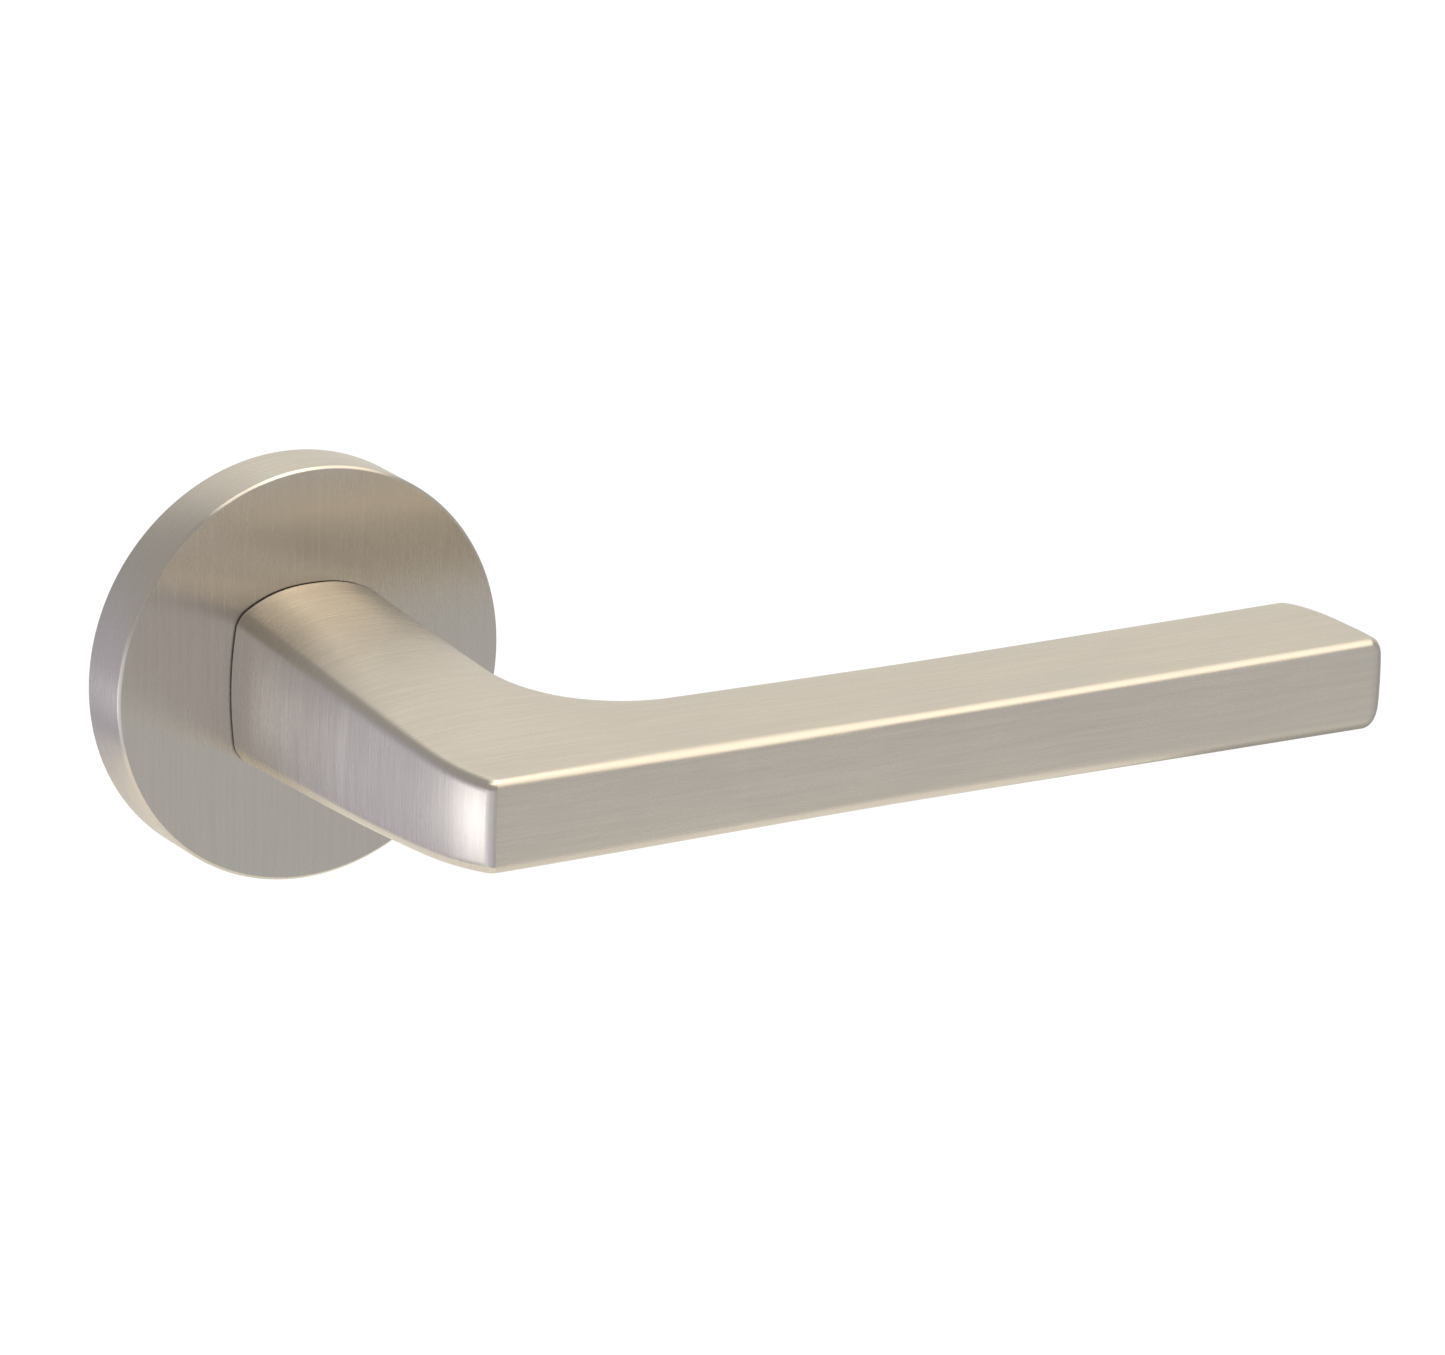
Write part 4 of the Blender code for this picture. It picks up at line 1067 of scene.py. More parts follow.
def shank_patches(base):
    """The neck's end face, the shank with its flats and clip groove, and the way into the socket."""
    around = np.arctan2(base[:, 2], base[:, 0])
    circle = np.stack([SHANK_RADIUS * np.cos(around), base[:, 1], SHANK_RADIUS * np.sin(around)], axis=1)
    step_in = np.linspace(0.0, 1.0, 5)[:, None, None]
    full = np.full_like(around, SHANK_RADIUS)
    flat = np.minimum(full, SHANK_FLATS / np.maximum(np.abs(np.sin(around)), TINY))
    groove = np.minimum(flat, CLIP_GROOVE_RADIUS)
    square = box_radius(around, SOCKET_HALF, SOCKET_HALF)
    rows = (
        (-NECK_START, full),
        (FLATS_START, full),
        (FLATS_START, flat),
        (CLIP_GROOVE[0], flat),
        (CLIP_GROOVE[0], groove),
        (CLIP_GROOVE[1], groove),
        (CLIP_GROOVE[1], flat),
        (SHANK_END - EASE, flat),
        (SHANK_END, flat - EASE),
        (SHANK_END, square * (1.0 + EASE / SOCKET_HALF)),
        (SHANK_END - EASE, square),
    )
    shank = rings(np.stack([r for _, r in rows]), np.array([[y] for y, _ in rows]), around)
    end_face = mix(base[None], circle[None], step_in)
    return [planar_patch(end_face, 0, 2), turned_patch(shank)], around, square


def lever_patches():
    """The skin with the grub hole, then the shank, its square socket and the tube of the hole."""
    skin, neck_rows = lever_skin()
    outer, top, inner, bottom = (skin[:, side * PANEL : (side + 1) * PANEL + 1] for side in range(4))
    patches = side_patches(outer, neck_rows + OUTER_SWITCH)
    patches += side_patches(inner, neck_rows + INNER_SWITCH)
    patches.append(planar_patch(top, 1, 0))
    patches.append(planar_patch(np.concatenate([skin[-1:], tip_face(skin[-1])]), 2, 1))

    row = int(np.argmin(np.abs(skin[:neck_rows, 0, 1] - GRUB_Y)))
    column = int(np.argmin(np.abs(bottom[row, :, 0])))
    block = (
        (row - HOLE_CELLS, row + HOLE_CELLS),
        (column - HOLE_CELLS, column + HOLE_CELLS),
    )
    patches.append(planar_patch(bottom, 1, 0, cells_outside(bottom, *block)))
    mouth, turn = hole_ring(block_border(bottom, *block), GRUB_HOLE + EASE, underside)
    patches.append(planar_patch(mouth, 1, 0))

    shank, around, square = shank_patches(skin[0])
    patches += shank
    stops = (SHANK_END - EASE, GRUB_Y + SOCKET_OPENING, GRUB_Y - SOCKET_OPENING, SOCKET_END)
    walls = steps_between(stops, SOCKET_STEPS)[:, None]
    socket = rings(np.broadcast_to(square, (len(walls), len(square))), walls, around)
    beside = np.abs(socket[0, :, 0]) < SOCKET_OPENING
    near = np.flatnonzero(beside & (socket[0, :, 2] < 0.0))
    middle = (near[0] + near[-1]) // 2
    # The block's border has as many points as the one on the skin, so that the tube joins both.
    start = SOCKET_STEPS[0]
    half = 2 * HOLE_CELLS - SOCKET_STEPS[1] // 2
    block = ((start, start + SOCKET_STEPS[1]), (middle - half, middle + half))
    patches.append(planar_patch(socket, 1, 0, cells_outside(socket, *block)))
    inside, inner_turn = hole_ring(block_border(socket, *block), GRUB_HOLE, socket_wall)
    patches.append(planar_patch(inside, 1, 0))
    pole = np.zeros((1, socket.shape[1], 3))
    pole[..., 1] = SOCKET_END
    patches.append(planar_patch(np.concatenate([socket[-1:], pole]), 0, 2))
    patches.append(grub_tube(mouth[-1], turn, inside[-1], inner_turn))
    return patches


def grub_tube(mouth, mouth_turn, inside, inside_turn):
    """The wall of the grub screw's hole, from the eased mouth up to the socket."""
    share = steps_between((0.0, 1.0), (10,))[:, None]
    if np.sign(mouth_turn[1] - mouth_turn[0]) != np.sign(inside_turn[1] - inside_turn[0]):
        inside, inside_turn = inside[::-1], inside_turn[::-1]
    turn = mouth_turn.copy()
    turn[-1] = turn[-2] + turn[1] - turn[0]
    offset = inside_turn[0] - turn[0]
    swing = mix(turn[None], turn[None] + offset, share)
    x = GRUB_HOLE * np.cos(swing)
    y = GRUB_Y + GRUB_HOLE * np.sin(swing)
    start = mouth[None, :, 2] + EASE
    z = mix(start, -SOCKET_HALF, share)
    points = np.stack([x, y, z], axis=2)
    points = np.concatenate([mouth[None], points])
    points[-1] = inside
    points[:, -1] = points[:, 0]
    return planar_patch(points, 2, 0)


class DOORLEVER_OT_lever(bpy.types.Operator):
    """Build the lever: neck, elbow and grip in one skin, with the shank that turns in the rose."""

    bl_idname = "door_lever.lever"
    bl_label = "Lever"

    def execute(self, context):
        finish_piece("lever_brushed", lever_patches(), "lever", "satin_nickel", "lever")
        return {"FINISHED"}


class DOORLEVER_OT_rose_cover(bpy.types.Operator):
    """Build the turned cup of the rose, its face brushed upright and its rim brushed round."""

    bl_idname = "door_lever.rose_cover"
    bl_label = "Rose Cover"

    def execute(self, context):
        shape = context.scene.door_lever_shape
        chamfer, ease = shape.rose_chamfer, shape.edge_ease
        inside = ROSE_RADIUS - COVER_WALL
        groove = inside + SNAP_GROOVE_DEPTH
        face_back = -ROSE_HEIGHT + COVER_WALL
        face_edge = ROSE_RADIUS - chamfer - ease
        hole_edge = COVER_HOLE + 2 * ease
        corners = [
            (hole_edge, -ROSE_HEIGHT),
            (COVER_HOLE, -ROSE_HEIGHT),
            (COVER_HOLE, face_back),
            (inside, face_back),
            (inside, SNAP_GROOVE[0]),
            (groove, SNAP_GROOVE[0]),
            (groove, SNAP_GROOVE[1]),
            (inside, SNAP_GROOVE[1]),
            (inside, 0.0),
            (ROSE_RADIUS, 0.0),
            (ROSE_RADIUS, -ROSE_HEIGHT + chamfer),
            (ROSE_RADIUS - chamfer, -ROSE_HEIGHT),
            (face_edge, -ROSE_HEIGHT),
        ]
        wall = turned(eased(corners, ease, closed=False), shape.round_steps)
        radii = np.linspace(face_edge, hole_edge, 25)
        face = turned(np.stack([radii, np.full_like(radii, -ROSE_HEIGHT)], axis=1), shape.round_steps)
        patches = [turned_patch(wall), planar_patch(face, 0, 2)]
        finish_piece("rose_cover_brushed", patches, "rose", "satin_nickel", "rose_cover")
        return {"FINISHED"}


def in_metres(corners):
    return np.array(corners) * MM


def turned_ring(corners, ease, steps):
    """The patch of a turned piece with a hole, from the corners of its section."""
    return turned_patch(turned(eased(corners, ease), steps))


def screw_spot(angle):
    """The (x, z) of a cover screw."""
    return SCREW_CIRCLE * math.cos(math.radians(angle)), SCREW_CIRCLE * math.sin(math.radians(angle))


class DOORLEVER_OT_inner_rose(bpy.types.Operator):
    """Build the die-cast base: chamber, stop, two lugs, four screw holes and the spring's slot."""

    bl_idname = "door_lever.inner_rose"
    bl_label = "Inner Rose"

    def execute(self, context):
        shape = context.scene.door_lever_shape
        corners = in_metres(BASE_CORNERS)
        base = weld("inner_rose", [turned_ring(corners, shape.edge_ease, shape.round_steps)])
        recess, hub_end = corners[RECESS_CORNER][1], corners[HUB_CORNER][1]
        angles = (90.0 - STOP_HALF_ANGLE, 90.0 + STOP_HALF_ANGLE)
        changes = [("UNION", sector_mesh(STOP_RADII, (hub_end - EASE, STOP_END), angles))]
        lugs = (
            ("UNION", LUG_RADIUS, recess - LUG_ROOT, BASE_HIGH.y),
            ("DIFFERENCE", LUG_BORE, LUG_BORE_START, BASE_HIGH.y + EASE),
        )
        for change, radius, start, end in lugs:
            for side in (1, -1):
                changes.append((change, bar_mesh(radius, start, end, (side * LUG_X, 0.0))))
        for angle in SCREW_ANGLES:
            hole = bar_mesh(SCREW_HOLE, SCREW_SPAN[0] - EASE, recess + EASE, screw_spot(angle))
            changes.append(("DIFFERENCE", hole))
        changes.append(("DIFFERENCE", box_mesh(*in_metres(LEG_SLOT))))
        mesh = carved(base, changes)
        settle_piece("inner_rose_cast", mesh, "rose", "die_cast_zinc", "inner_rose")
        return {"FINISHED"}


class DOORLEVER_OT_spring_cover(bpy.types.Operator):
    """Build the plate that closes the base, with its lug holes and four countersinks."""

    bl_idname = "door_lever.spring_cover"
    bl_label = "Spring Cover"

    def execute(self, context):
        shape = context.scene.door_lever_shape
        front, back = PLATE_LOW.y, PLATE_HIGH.y
        radius = PLATE_HIGH.z
        corners = ring_section(PLATE_HOLE, radius, front, back)
        plate = weld("spring_cover", [turned_ring(corners, shape.edge_ease, shape.round_steps)])
        start, end = front - EASE, back + EASE
        changes = []
        for side in (1, -1):
            changes.append(("DIFFERENCE", bar_mesh(PLATE_LUG_HOLE, start, end, (side * LUG_X, 0.0))))
        spread = (PLATE_SINK - SCREW_HOLE) / (back - front) * EASE
        for angle in SCREW_ANGLES:
            sink = bar_mesh(SCREW_HOLE - spread, start, end, screw_spot(angle), 64, PLATE_SINK + spread)
            changes.append(("DIFFERENCE", sink))
        mesh = carved(plate, changes)
        settle_piece(
            "spring_cover_plate", mesh, "rose", "zinc_plated_steel", "spring_cover"
        )
        return {"FINISHED"}


def cross_recess(x, z):
    """1 inside a cross of two arms, 0 outside, with steep sides between."""
    long_, short = CROSS_ARM
    arms = []
    for along, across in ((np.abs(x), np.abs(z)), (np.abs(z), np.abs(x))):
        within = np.clip((long_ - along) / CROSS_SLOPE + 0.5, 0.0, 1.0)
        arms.append(within * np.clip((short - across) / CROSS_SLOPE + 0.5, 0.0, 1.0))
    return np.maximum(*arms)


class DOORLEVER_OT_cover_screws(bpy.types.Operator):
    """Build the four countersunk screws: threaded shank, cone head and cross recess."""

    bl_idname = "door_lever.cover_screws"
    bl_label = "Cover Screws"

    def execute(self, context):
        shape = context.scene.door_lever_shape
        turn = full_turn(shape.small_steps)
        start, top = SCREW_SPAN
        neck = PLATE_LOW.y
        heights = np.linspace(start + SCREW_POINT, neck, 61)[:, None]
        depth = SCREW_THREAD_SHARE * shape.thread_depth
        radii = SCREW_RADIUS - outside_thread(turn, heights, SCREW_PITCH, depth)
        point = [(0.0, start), (SCREW_RADIUS - SCREW_POINT, start), (SCREW_RADIUS, start + SCREW_POINT)]
        corners = [(SCREW_RADIUS, neck), (SCREW_HEAD_RADIUS, top), (0.0, top)]
        cone = eased(corners, shape.edge_ease, False)
        reach = np.linspace(cone[-2, 0], 0.0, 37)[:, None]
        x, z = reach * np.cos(turn), reach * np.sin(turn)
        y = top - CROSS_DEPTH * cross_recess(x, z)
        for number, angle in enumerate(SCREW_ANGLES, start=1):
            spot = screw_spot(angle)
            parts = (
                plain_rings(point, turn, spot),
                rings(radii, heights, turn, spot),
                plain_rings(cone[:-1], turn, spot),
                np.stack([x + spot[0], y, z + spot[1]], axis=2),
            )
            patches = [planar_patch(part, 0, 2) for part in parts]
            name = f"cover_screw_{number}"
            finish_piece(f"{name}_threaded", patches, "rose", "zinc_plated_steel", name)
        return {"FINISHED"}


def tapped_insert(turn, spot, shape):
    """The patches of one insert: threaded bore, outside, and the two leads between them."""
    front, back = INSERT_SPAN
    lead = shape.thread_depth
    heights = np.linspace(front + lead, back - lead, 131)[:, None]
    radii = INSERT_BORE + lead * (1.0 - thread_wave(turn, heights, INSERT_PITCH))
    mouth = INSERT_BORE + 2 * lead
    outside = [(mouth, back), (INSERT_RADIUS, back), (INSERT_RADIUS, front), (mouth, front)]
    bore = rings(radii, heights, turn, spot)
    shell = plain_rings(eased(outside, shape.edge_ease, False), turn, spot)
    leads = [np.stack([bore[-1], shell[0]]), np.stack([shell[-1], bore[0]])]
    return [planar_patch(part, 0, 1) for part in [bore, shell] + leads]


class DOORLEVER_OT_inserts(bpy.types.Operator):
    """Build the two inserts in the lugs, with the inside thread for the bolts of the door."""

    bl_idname = "door_lever.inserts"
    bl_label = "Threaded Inserts"

    def execute(self, context):
        shape = context.scene.door_lever_shape
        turn = full_turn(shape.small_steps)
        for number, side in enumerate((-1, 1), start=1):
            patches = tapped_insert(turn, (side * LUG_X, 0.0), shape)
            name = f"threaded_insert_{number}"
            finish_piece(f"{name}_tapped", patches, "rose", "zinc_plated_steel", name)
        return {"FINISHED"}


class DOORLEVER_OT_bearings(bpy.types.Operator):
    """Build the two nylon bushes, the thrust washer and the wave washer."""

    bl_idname = "door_lever.bearings"
    bl_label = "Bushes And Washers"

    def execute(self, context):
        shape = context.scene.door_lever_shape
        ease, steps = shape.edge_ease, shape.round_steps
        washer = ring_section(WASHER_BORE, WASHER_HIGH.x, WASHER_LOW.y, WASHER_HIGH.y)
        rows = (
            ("bearing_bush", in_metres(BUSH_CORNERS), "rose", "black_nylon"),
            ("rear_bush", in_metres(REAR_BUSH_CORNERS), "rose", "natural_nylon"),
            ("thrust_washer", washer, "lever", "natural_nylon"),
        )
        for name, corners, body, slot in rows:
            patches = [turned_ring(corners, ease, steps)]
            finish_piece(f"{name}_turned", patches, body, slot, name)
        turn = full_turn(steps)
        radii = np.array([WAVE_BORE, WAVE_HIGH.x, WAVE_HIGH.x, WAVE_BORE, WAVE_BORE])[:, None]
        lift = np.array([-0.5, -0.5, 0.5, 0.5, -0.5])[:, None] * WAVE_THICKNESS
        heights = WAVE_MIDDLE + WAVE_HEIGHT * np.sin(WAVES * turn) + lift
        wave = rings(np.broadcast_to(radii, heights.shape), heights, turn)
        patches = [turned_patch(wave)]
        finish_piece("wave_washer_pressed", patches, "lever", "spring_steel", "wave_washer")
        return {"FINISHED"}


class DOORLEVER_OT_retaining_ring(bpy.types.Operator):
    """Build the clip on the shank, with its gap and two drilled ears."""

    bl_idname = "door_lever.retaining_ring"
    bl_label = "Retaining Ring"

    def execute(self, context):
        shape = context.scene.door_lever_shape
        front, back = CLIP_LOW.y, CLIP_HIGH.y
        corners = ring_section(CLIP_BORE, CLIP_RADIUS, front, back)
        ring = weld("retaining_ring", [turned_ring(corners, shape.edge_ease / 2, shape.round_steps)])
        ear_x, ear_z, ear_radius, hole = CLIP_EAR
        spots = [(side * ear_x, ear_z) for side in (1, -1)]
        changes = []
        for spot in spots:
            changes.append(("UNION", bar_mesh(ear_radius, front + EAR_STEP, back - EAR_STEP, spot)))
        start, end = front - EASE, back + EASE
        gap = box_mesh((-CLIP_GAP, start, 0.0), (CLIP_GAP, end, ear_z + 2 * ear_radius))
        changes.append(("DIFFERENCE", gap))
        changes += [("DIFFERENCE", bar_mesh(hole, start, end, spot, 32)) for spot in spots]
        mesh = carved(ring, changes)
        settle_piece(
            "retaining_ring_stamped", mesh, "lever", "spring_steel", "retaining_ring"
        )
        return {"FINISHED"}


class DOORLEVER_OT_spindle(bpy.types.Operator):
    """Build the square spindle, with its long edges and its ends broken."""

    bl_idname = "door_lever.spindle"
    bl_label = "Spindle"

    def execute(self, context):
        half = SPINDLE_HIGH.x
        corners = [(half, half), (-half, half), (-half, -half), (half, -half)]
        outline = eased(corners, SPINDLE_CHAMFER)
        start, end = SPINDLE_LOW.y, SPINDLE_HIGH.y
        small = 1.0 - SPINDLE_CHAMFER / half
        inside = np.linspace(start + SPINDLE_CHAMFER, end - SPINDLE_CHAMFER, 24)
        heights = np.concatenate([[start, start], inside, [end, end]])
        scale = np.concatenate([[0.0, small], np.ones(24), [small, 0.0]])[:, None]
        x, z = scale * outline[:, 0], scale * outline[:, 1]
        points = np.stack([x, np.broadcast_to(heights[:, None], x.shape), z], axis=2)
        patches = [planar_patch(points, 0, 1)]
        finish_piece("spindle_drawn", patches, "lever", "zinc_plated_steel", "spindle")
        return {"FINISHED"}


class DOORLEVER_OT_grub_screw(bpy.types.Operator):
    """Build the grub screw under the neck, threaded, with a hexagon socket."""

    bl_idname = "door_lever.grub_screw"
    bl_label = "Grub Screw"

    def execute(self, context):
        shape = context.scene.door_lever_shape
        turn = full_turn(shape.small_steps)
        low, high = GRUB_LOW.z, GRUB_HIGH.z
        heights = np.linspace(low + EASE, high - EASE, 73)[:, None]
        depth = GRUB_THREAD_SHARE * shape.thread_depth
        body = rings(GRUB_RADIUS - outside_thread(turn, heights, GRUB_PITCH, depth), heights, turn)
        narrow = GRUB_RADIUS - EASE
        point = plain_rings([(GRUB_RADIUS, high - EASE), (narrow, high), (0.0, high)], turn)
        hexagon = polygon_radius(turn, 6, GRUB_HEX_FLAT)
        floor = low + GRUB_HEX_DEPTH
        rows = (
            (low + EASE, GRUB_RADIUS),
            (low, narrow),
            (low, hexagon * GRUB_HEX_LEAD),
            (low + 0.4 * EASE, hexagon),
            (floor, hexagon),
            (floor, 0.0),
        )
        radii = np.stack([np.broadcast_to(radius, turn.shape) for _, radius in rows])
        head = rings(radii, np.array([[height] for height, _ in rows]), turn)
        patches = []
        for part in (body, point, head):
            # The piece is worked out round Y and stood up on its end under the neck.
            upright = np.stack([part[..., 0], GRUB_Y - part[..., 2], part[..., 1]], axis=2)
            patches.append(planar_patch(upright, 0, 2))
        finish_piece("grub_screw_threaded", patches, "lever", "blackened_steel", "grub_screw")
        return {"FINISHED"}


def bent(start, corner, end, steps=9):
    """Points on a quadratic Bezier arc."""
    t = np.linspace(0.0, 1.0, steps)[:, None]
    start, corner, end = (np.asarray(point, float) for point in (start, corner, end))
    return (1 - t) ** 2 * start + 2 * t * (1 - t) * corner + t**2 * end


def around_axis(radius, angle, y):
    """Points on a circle round the spindle's axis, at angles in radians."""
    x, z = radius * np.cos(angle), radius * np.sin(angle)
    return np.stack([x, np.broadcast_to(y, angle.shape), z], axis=-1)


def spring_path():
    """The return spring's middle line: a straight leg, one falling turn and a short driving end."""
    front, back = SPRING_Y
    turn = np.linspace(*SPRING_COILED, 97)
    angle = np.radians(-90.0 + SPRING_SWEEP * turn)
    coil = around_axis(SPRING_RADIUS, angle, mix(front, back, turn))
    corner = (0.0, front, -SPRING_RADIUS / math.cos(angle[0] + math.pi / 2))
    leg_end = (0.0, front, -SPRING_RADIUS - SPRING_BEND)
    hook = around_axis(SPRING_RADIUS, np.radians(SPRING_SWEEP - 90.0), back)
    stub = around_axis(SPRING_STUB_END, np.radians(SPRING_STUB_ANGLE), back)
    bend_in = bent(leg_end, corner, coil[0])[:-1]
    bend_out = bent(coil[-1], hook, stub, 4)[1:-1:2]
    return np.concatenate([[(0.0, front, -SPRING_LEG_END)], bend_in, coil, bend_out, [stub]])


class DOORLEVER_OT_springs(bpy.types.Operator):
    """Build the return spring and the snap ring of the rose from round wire."""

    bl_idname = "door_lever.springs"
    bl_label = "Spring And Snap Ring"

    def execute(self, context):
        patches = [tube(spring_path(), SPRING_WIRE)]
        finish_piece("return_spring_wound", patches, "rose", "spring_steel", "return_spring")
        angle = np.radians(np.linspace(SNAP_GAP_ANGLE - 90.0, 270.0 - SNAP_GAP_ANGLE, 121))
        patches = [tube(around_axis(SNAP_RADIUS, angle, SNAP_Y), SNAP_WIRE, 16)]
        finish_piece("snap_ring_formed", patches, "rose", "spring_steel", "snap_ring")
        return {"FINISHED"}


class DOORLEVER_OT_driver_finish(bpy.types.Operator):
    """Give the spring driver, which keeps its first shape, its plated finish."""

    bl_idname = "door_lever.driver_finish"
    bl_label = "Driver Finish"

    def execute(self, context):
        for slot in frame["nodes"]["spring_driver"].material_slots:
            slot.material = finish_of("zinc_plated_steel")
        return {"FINISHED"}


# ---------------------------------------------------------------------------------------------
# The studio

ROOM_SHADE = (0.46, 0.46, 0.47)
WHITE_SWEEP = {"Color": (1.0, 1.0, 1.0, 1.0), "Strength": 1.05}
FLOOR_HALF = 0.17
SOFTBOX_PLACE = (0.05, -0.15, 0.75)
SOFTBOX_AIM = (0.0, -0.05, 0.0)
SOFTBOX_SIZE = (0.6, 0.5)
SOFTBOX_POWER = 1.45
SOFTBOX_COLOUR = (1.0, 0.95, 0.87)
# Each panel: the way to its middle, the angles where it is full and where it ends, and its light.
SOFT_PANELS = (
    ((0.55, 0.72, 0.42), 26.0, 50.0, (0.88, 0.87, 0.84)),
    ((-0.5, 0.78, -0.38), 18.0, 45.0, (0.54, 0.54, 0.66)),
    ((-0.95, -0.1, -0.3), 14.0, 34.0, (1.1, 1.12, 1.25)),
    ((-0.88, 0.36, -0.31), 3.0, 11.0, (3.2, 3.25, 3.6)),
    ((-0.505, -0.806, -0.309), 12.0, 36.0, (0.72, 0.76, 0.93)),
    ((0.75, -0.6, -0.3), 12.0, 45.0, (0.62, 0.64, 0.68)),
    ((0.5, -0.1, 0.86), 14.0, 34.0, (1.6, 1.53, 1.38)),
    ((0.5, -0.48, 0.75), 14.0, 27.0, (2.0, 1.85, 1.65)),
    ((0.5, -0.5, -0.7), 8.0, 20.0, (0.85, 0.83, 0.8)),
)


def view_axes(stage):
    """Right, up and back directions of the camera, from its azimuth, elevation and roll."""
    a, e, roll = stage.azimuth, stage.elevation, stage.roll
    right = Vector((math.cos(a), math.sin(a), 0.0))
    back = Vector((math.sin(a) * math.cos(e), -math.cos(a) * math.cos(e), math.sin(e)))
    upright = back.cross(right)
    turned_right = right * math.cos(roll) + upright * math.sin(roll)
    turned_up = upright * math.cos(roll) - right * math.sin(roll)
    return turned_right, turned_up, back


def place_camera(stage):
    right, up, back = view_axes(stage)
    data = bpy.data.cameras.new("studio_camera")
    data.lens = stage.lens
    data.sensor_width = 36.0
    data.sensor_fit = "HORIZONTAL"
    data.clip_start = 0.05
    data.clip_end = 20.0
    camera = bpy.data.objects.new("studio_camera", data)
    bpy.context.scene.collection.objects.link(camera)
    matrix = Matrix((right, up, back)).transposed().to_4x4()
    matrix.translation = right * stage.aim_right + up * stage.aim_up + back * stage.distance
    camera.matrix_world = matrix
    bpy.context.scene.camera = camera


def hang_softbox():
    """One rectangular soft light over the object."""
    data = bpy.data.lights.new("top_softbox", "AREA")
    data.shape = "RECTANGLE"
    data.size, data.size_y = SOFTBOX_SIZE
    data.energy = SOFTBOX_POWER
    data.color = SOFTBOX_COLOUR
    light = bpy.data.objects.new("top_softbox", data)
    bpy.context.scene.collection.objects.link(light)
    light.location = SOFTBOX_PLACE
    way = Vector(SOFTBOX_AIM) - Vector(SOFTBOX_PLACE)
    light.rotation_euler = way.to_track_quat("-Z", "Y").to_euler()


def lay_floor(stage):
    """A pale floor that the camera sees as an even white sweep."""
    z = -stage.floor_drop
    corners = [(x * FLOOR_HALF, y * FLOOR_HALF, z) for x, y in ((-1, -1), (1, -1), (1, 1), (-1, 1))]
    mesh = bpy.data.meshes.new("studio_floor")
    mesh.from_pydata(corners, [], [(0, 1, 2, 3)])
    floor = bpy.data.objects.new("studio_floor", mesh)
    bpy.context.scene.collection.objects.link(floor)
    material = bpy.data.materials.new("studio_white")
    material.use_nodes = True
    tree = material.node_tree
    shader = tree.nodes["Principled BSDF"]
    shader.inputs["Base Color"].default_value = (0.85, 0.84, 0.82, 1.0)
    shader.inputs["Roughness"].default_value = 0.9
    shader.inputs["Emission Color"].default_value = (1.0, 0.99, 0.97, 1.0)
    shader.inputs["Emission Strength"].default_value = 0.3
    glow = node(tree, "ShaderNodeEmission", WHITE_SWEEP)
    seen = node(tree, "ShaderNodeLightPath").outputs["Is Camera Ray"]
    both = node(tree, "ShaderNodeMixShader", {0: seen, 1: shader.outputs[0], 2: glow.outputs[0]})
    tree.links.new(both.outputs[0], tree.nodes["Material Output"].inputs["Surface"])
    mesh.materials.append(material)


def panel_group():
    """How far a direction lies inside a round soft panel of the studio: 1 inside, 0 outside."""
    vectors = [("Way", "Vector", None), ("Centre", "Vector", None)]
    limits = [("Inner", "Float", 0.9), ("Outer", "Float", 0.5)]
    tree, given, result = new_group("soft_panel", vectors + limits, [("Amount", "Float")])
    inputs = {0: given.outputs["Way"], 1: given.outputs["Centre"]}
    nearness = node(tree, "ShaderNodeVectorMath", inputs, operation="DOT_PRODUCT").outputs["Value"]
    inputs = {"Value": nearness, "From Min": given.outputs["Outer"], "From Max": given.outputs["Inner"]}
    amount = node(tree, "ShaderNodeMapRange", inputs, interpolation_type="SMOOTHSTEP")
    tree.links.new(amount.outputs["Result"], result.inputs["Amount"])
    return tree


def light_world():
    """The studio round the object: a dim room with soft round panels of light in it."""
    world = bpy.data.worlds.new("studio_world")
    bpy.context.scene.world = world
    world.use_nodes = True
    tree = world.node_tree
    tree.nodes.clear()
    way = node(tree, "ShaderNodeTexCoord").outputs["Generated"]
    group = panel_group()
    shade = (*ROOM_SHADE, 1.0)
    for centre, inner, outer, colour in SOFT_PANELS:
        inputs = {
            "Way": way,
            "Centre": Vector(centre).normalized(),
            "Inner": math.cos(math.radians(inner)),
            "Outer": math.cos(math.radians(outer)),
        }
        inside = use_group(tree, group, inputs).outputs[0]
        mixer = {0: inside, 6: shade, 7: (*colour, 1.0)}
        shade = node(tree, "ShaderNodeMix", mixer, data_type="RGBA").outputs[2]
    studio = node(tree, "ShaderNodeBackground", {"Color": shade, "Strength": 1.0})
    white = node(tree, "ShaderNodeBackground", WHITE_SWEEP)
    seen = node(tree, "ShaderNodeLightPath").outputs["Is Camera Ray"]
    both = node(tree, "ShaderNodeMixShader", {0: seen, 1: studio.outputs[0], 2: white.outputs[0]})
    output = node(tree, "ShaderNodeOutputWorld")
    tree.links.new(both.outputs[0], output.inputs["Surface"])


class DOORLEVER_OT_stage(bpy.types.Operator):
    """Set up the pale floor, the soft studio light and the camera."""

    bl_idname = "door_lever.stage"
    bl_label = "Studio"

    def execute(self, context):
        stage = context.scene.door_lever_stage
        place_camera(stage)
        lay_floor(stage)
        light_world()
        hang_softbox()
        context.scene.view_settings.view_transform = "Standard"
        context.scene.view_settings.look = "None"
        return {"FINISHED"}


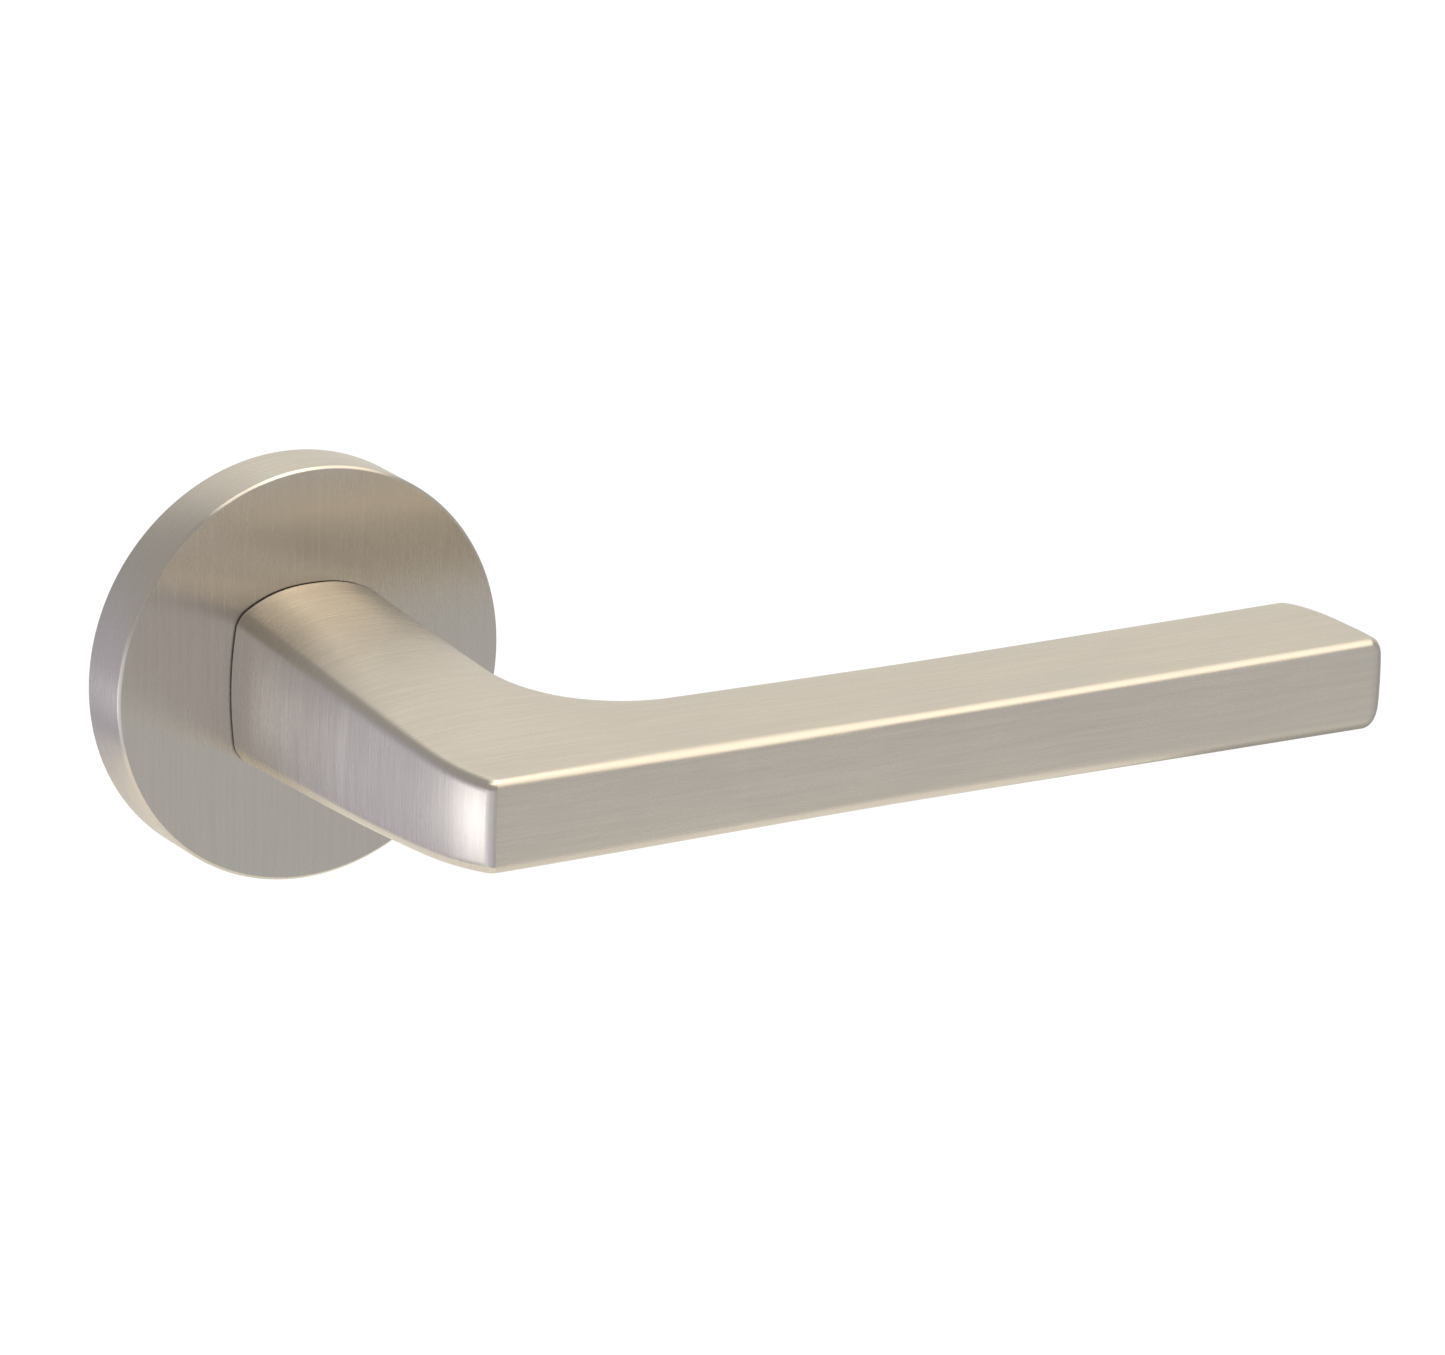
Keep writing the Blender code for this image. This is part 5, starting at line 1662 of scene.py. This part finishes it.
class DOORLEVER_PT_panel(bpy.types.Panel):
    """The pieces of the door lever, each with its button."""

    bl_idname = "DOORLEVER_PT_panel"
    bl_label = "Door Lever"
    bl_space_type = "VIEW_3D"
    bl_region_type = "UI"
    bl_category = "Door Lever"

    def draw(self, context):
        for group in ("door_lever_shape", "door_lever_finish", "door_lever_stage"):
            settings = getattr(context.scene, group)
            box = self.layout.box()
            for name in settings.bl_rna.properties.keys():
                if name not in ("rna_type", "name"):
                    box.prop(settings, name)
        for operator in OPERATORS:
            self.layout.operator(operator.bl_idname)


SETTINGS = {
    "door_lever_shape": DoorLeverShape,
    "door_lever_finish": DoorLeverFinish,
    "door_lever_stage": DoorLeverStage,
}
OPERATORS = (
    DOORLEVER_OT_stage,
    DOORLEVER_OT_lever,
    DOORLEVER_OT_rose_cover,
    DOORLEVER_OT_inner_rose,
    DOORLEVER_OT_spring_cover,
    DOORLEVER_OT_cover_screws,
    DOORLEVER_OT_inserts,
    DOORLEVER_OT_bearings,
    DOORLEVER_OT_retaining_ring,
    DOORLEVER_OT_spindle,
    DOORLEVER_OT_grub_screw,
    DOORLEVER_OT_springs,
    DOORLEVER_OT_driver_finish,
)


def register():
    for name, group in SETTINGS.items():
        bpy.utils.register_class(group)
        setattr(bpy.types.Scene, name, PointerProperty(type=group))
    for operator in OPERATORS:
        bpy.utils.register_class(operator)
    bpy.utils.register_class(DOORLEVER_PT_panel)


def unregister():
    bpy.utils.unregister_class(DOORLEVER_PT_panel)
    for operator in reversed(OPERATORS):
        bpy.utils.unregister_class(operator)
    for name, group in SETTINGS.items():
        delattr(bpy.types.Scene, name)
        bpy.utils.unregister_class(group)


def main():
    register()
    bpy.ops.door_lever.stage()
    bpy.ops.door_lever.lever()
    bpy.ops.door_lever.rose_cover()
    bpy.ops.door_lever.inner_rose()
    bpy.ops.door_lever.spring_cover()
    bpy.ops.door_lever.cover_screws()
    bpy.ops.door_lever.inserts()
    bpy.ops.door_lever.bearings()
    bpy.ops.door_lever.retaining_ring()
    bpy.ops.door_lever.spindle()
    bpy.ops.door_lever.grub_screw()
    bpy.ops.door_lever.springs()
    bpy.ops.door_lever.driver_finish()


if __name__ == "__main__":
    main()
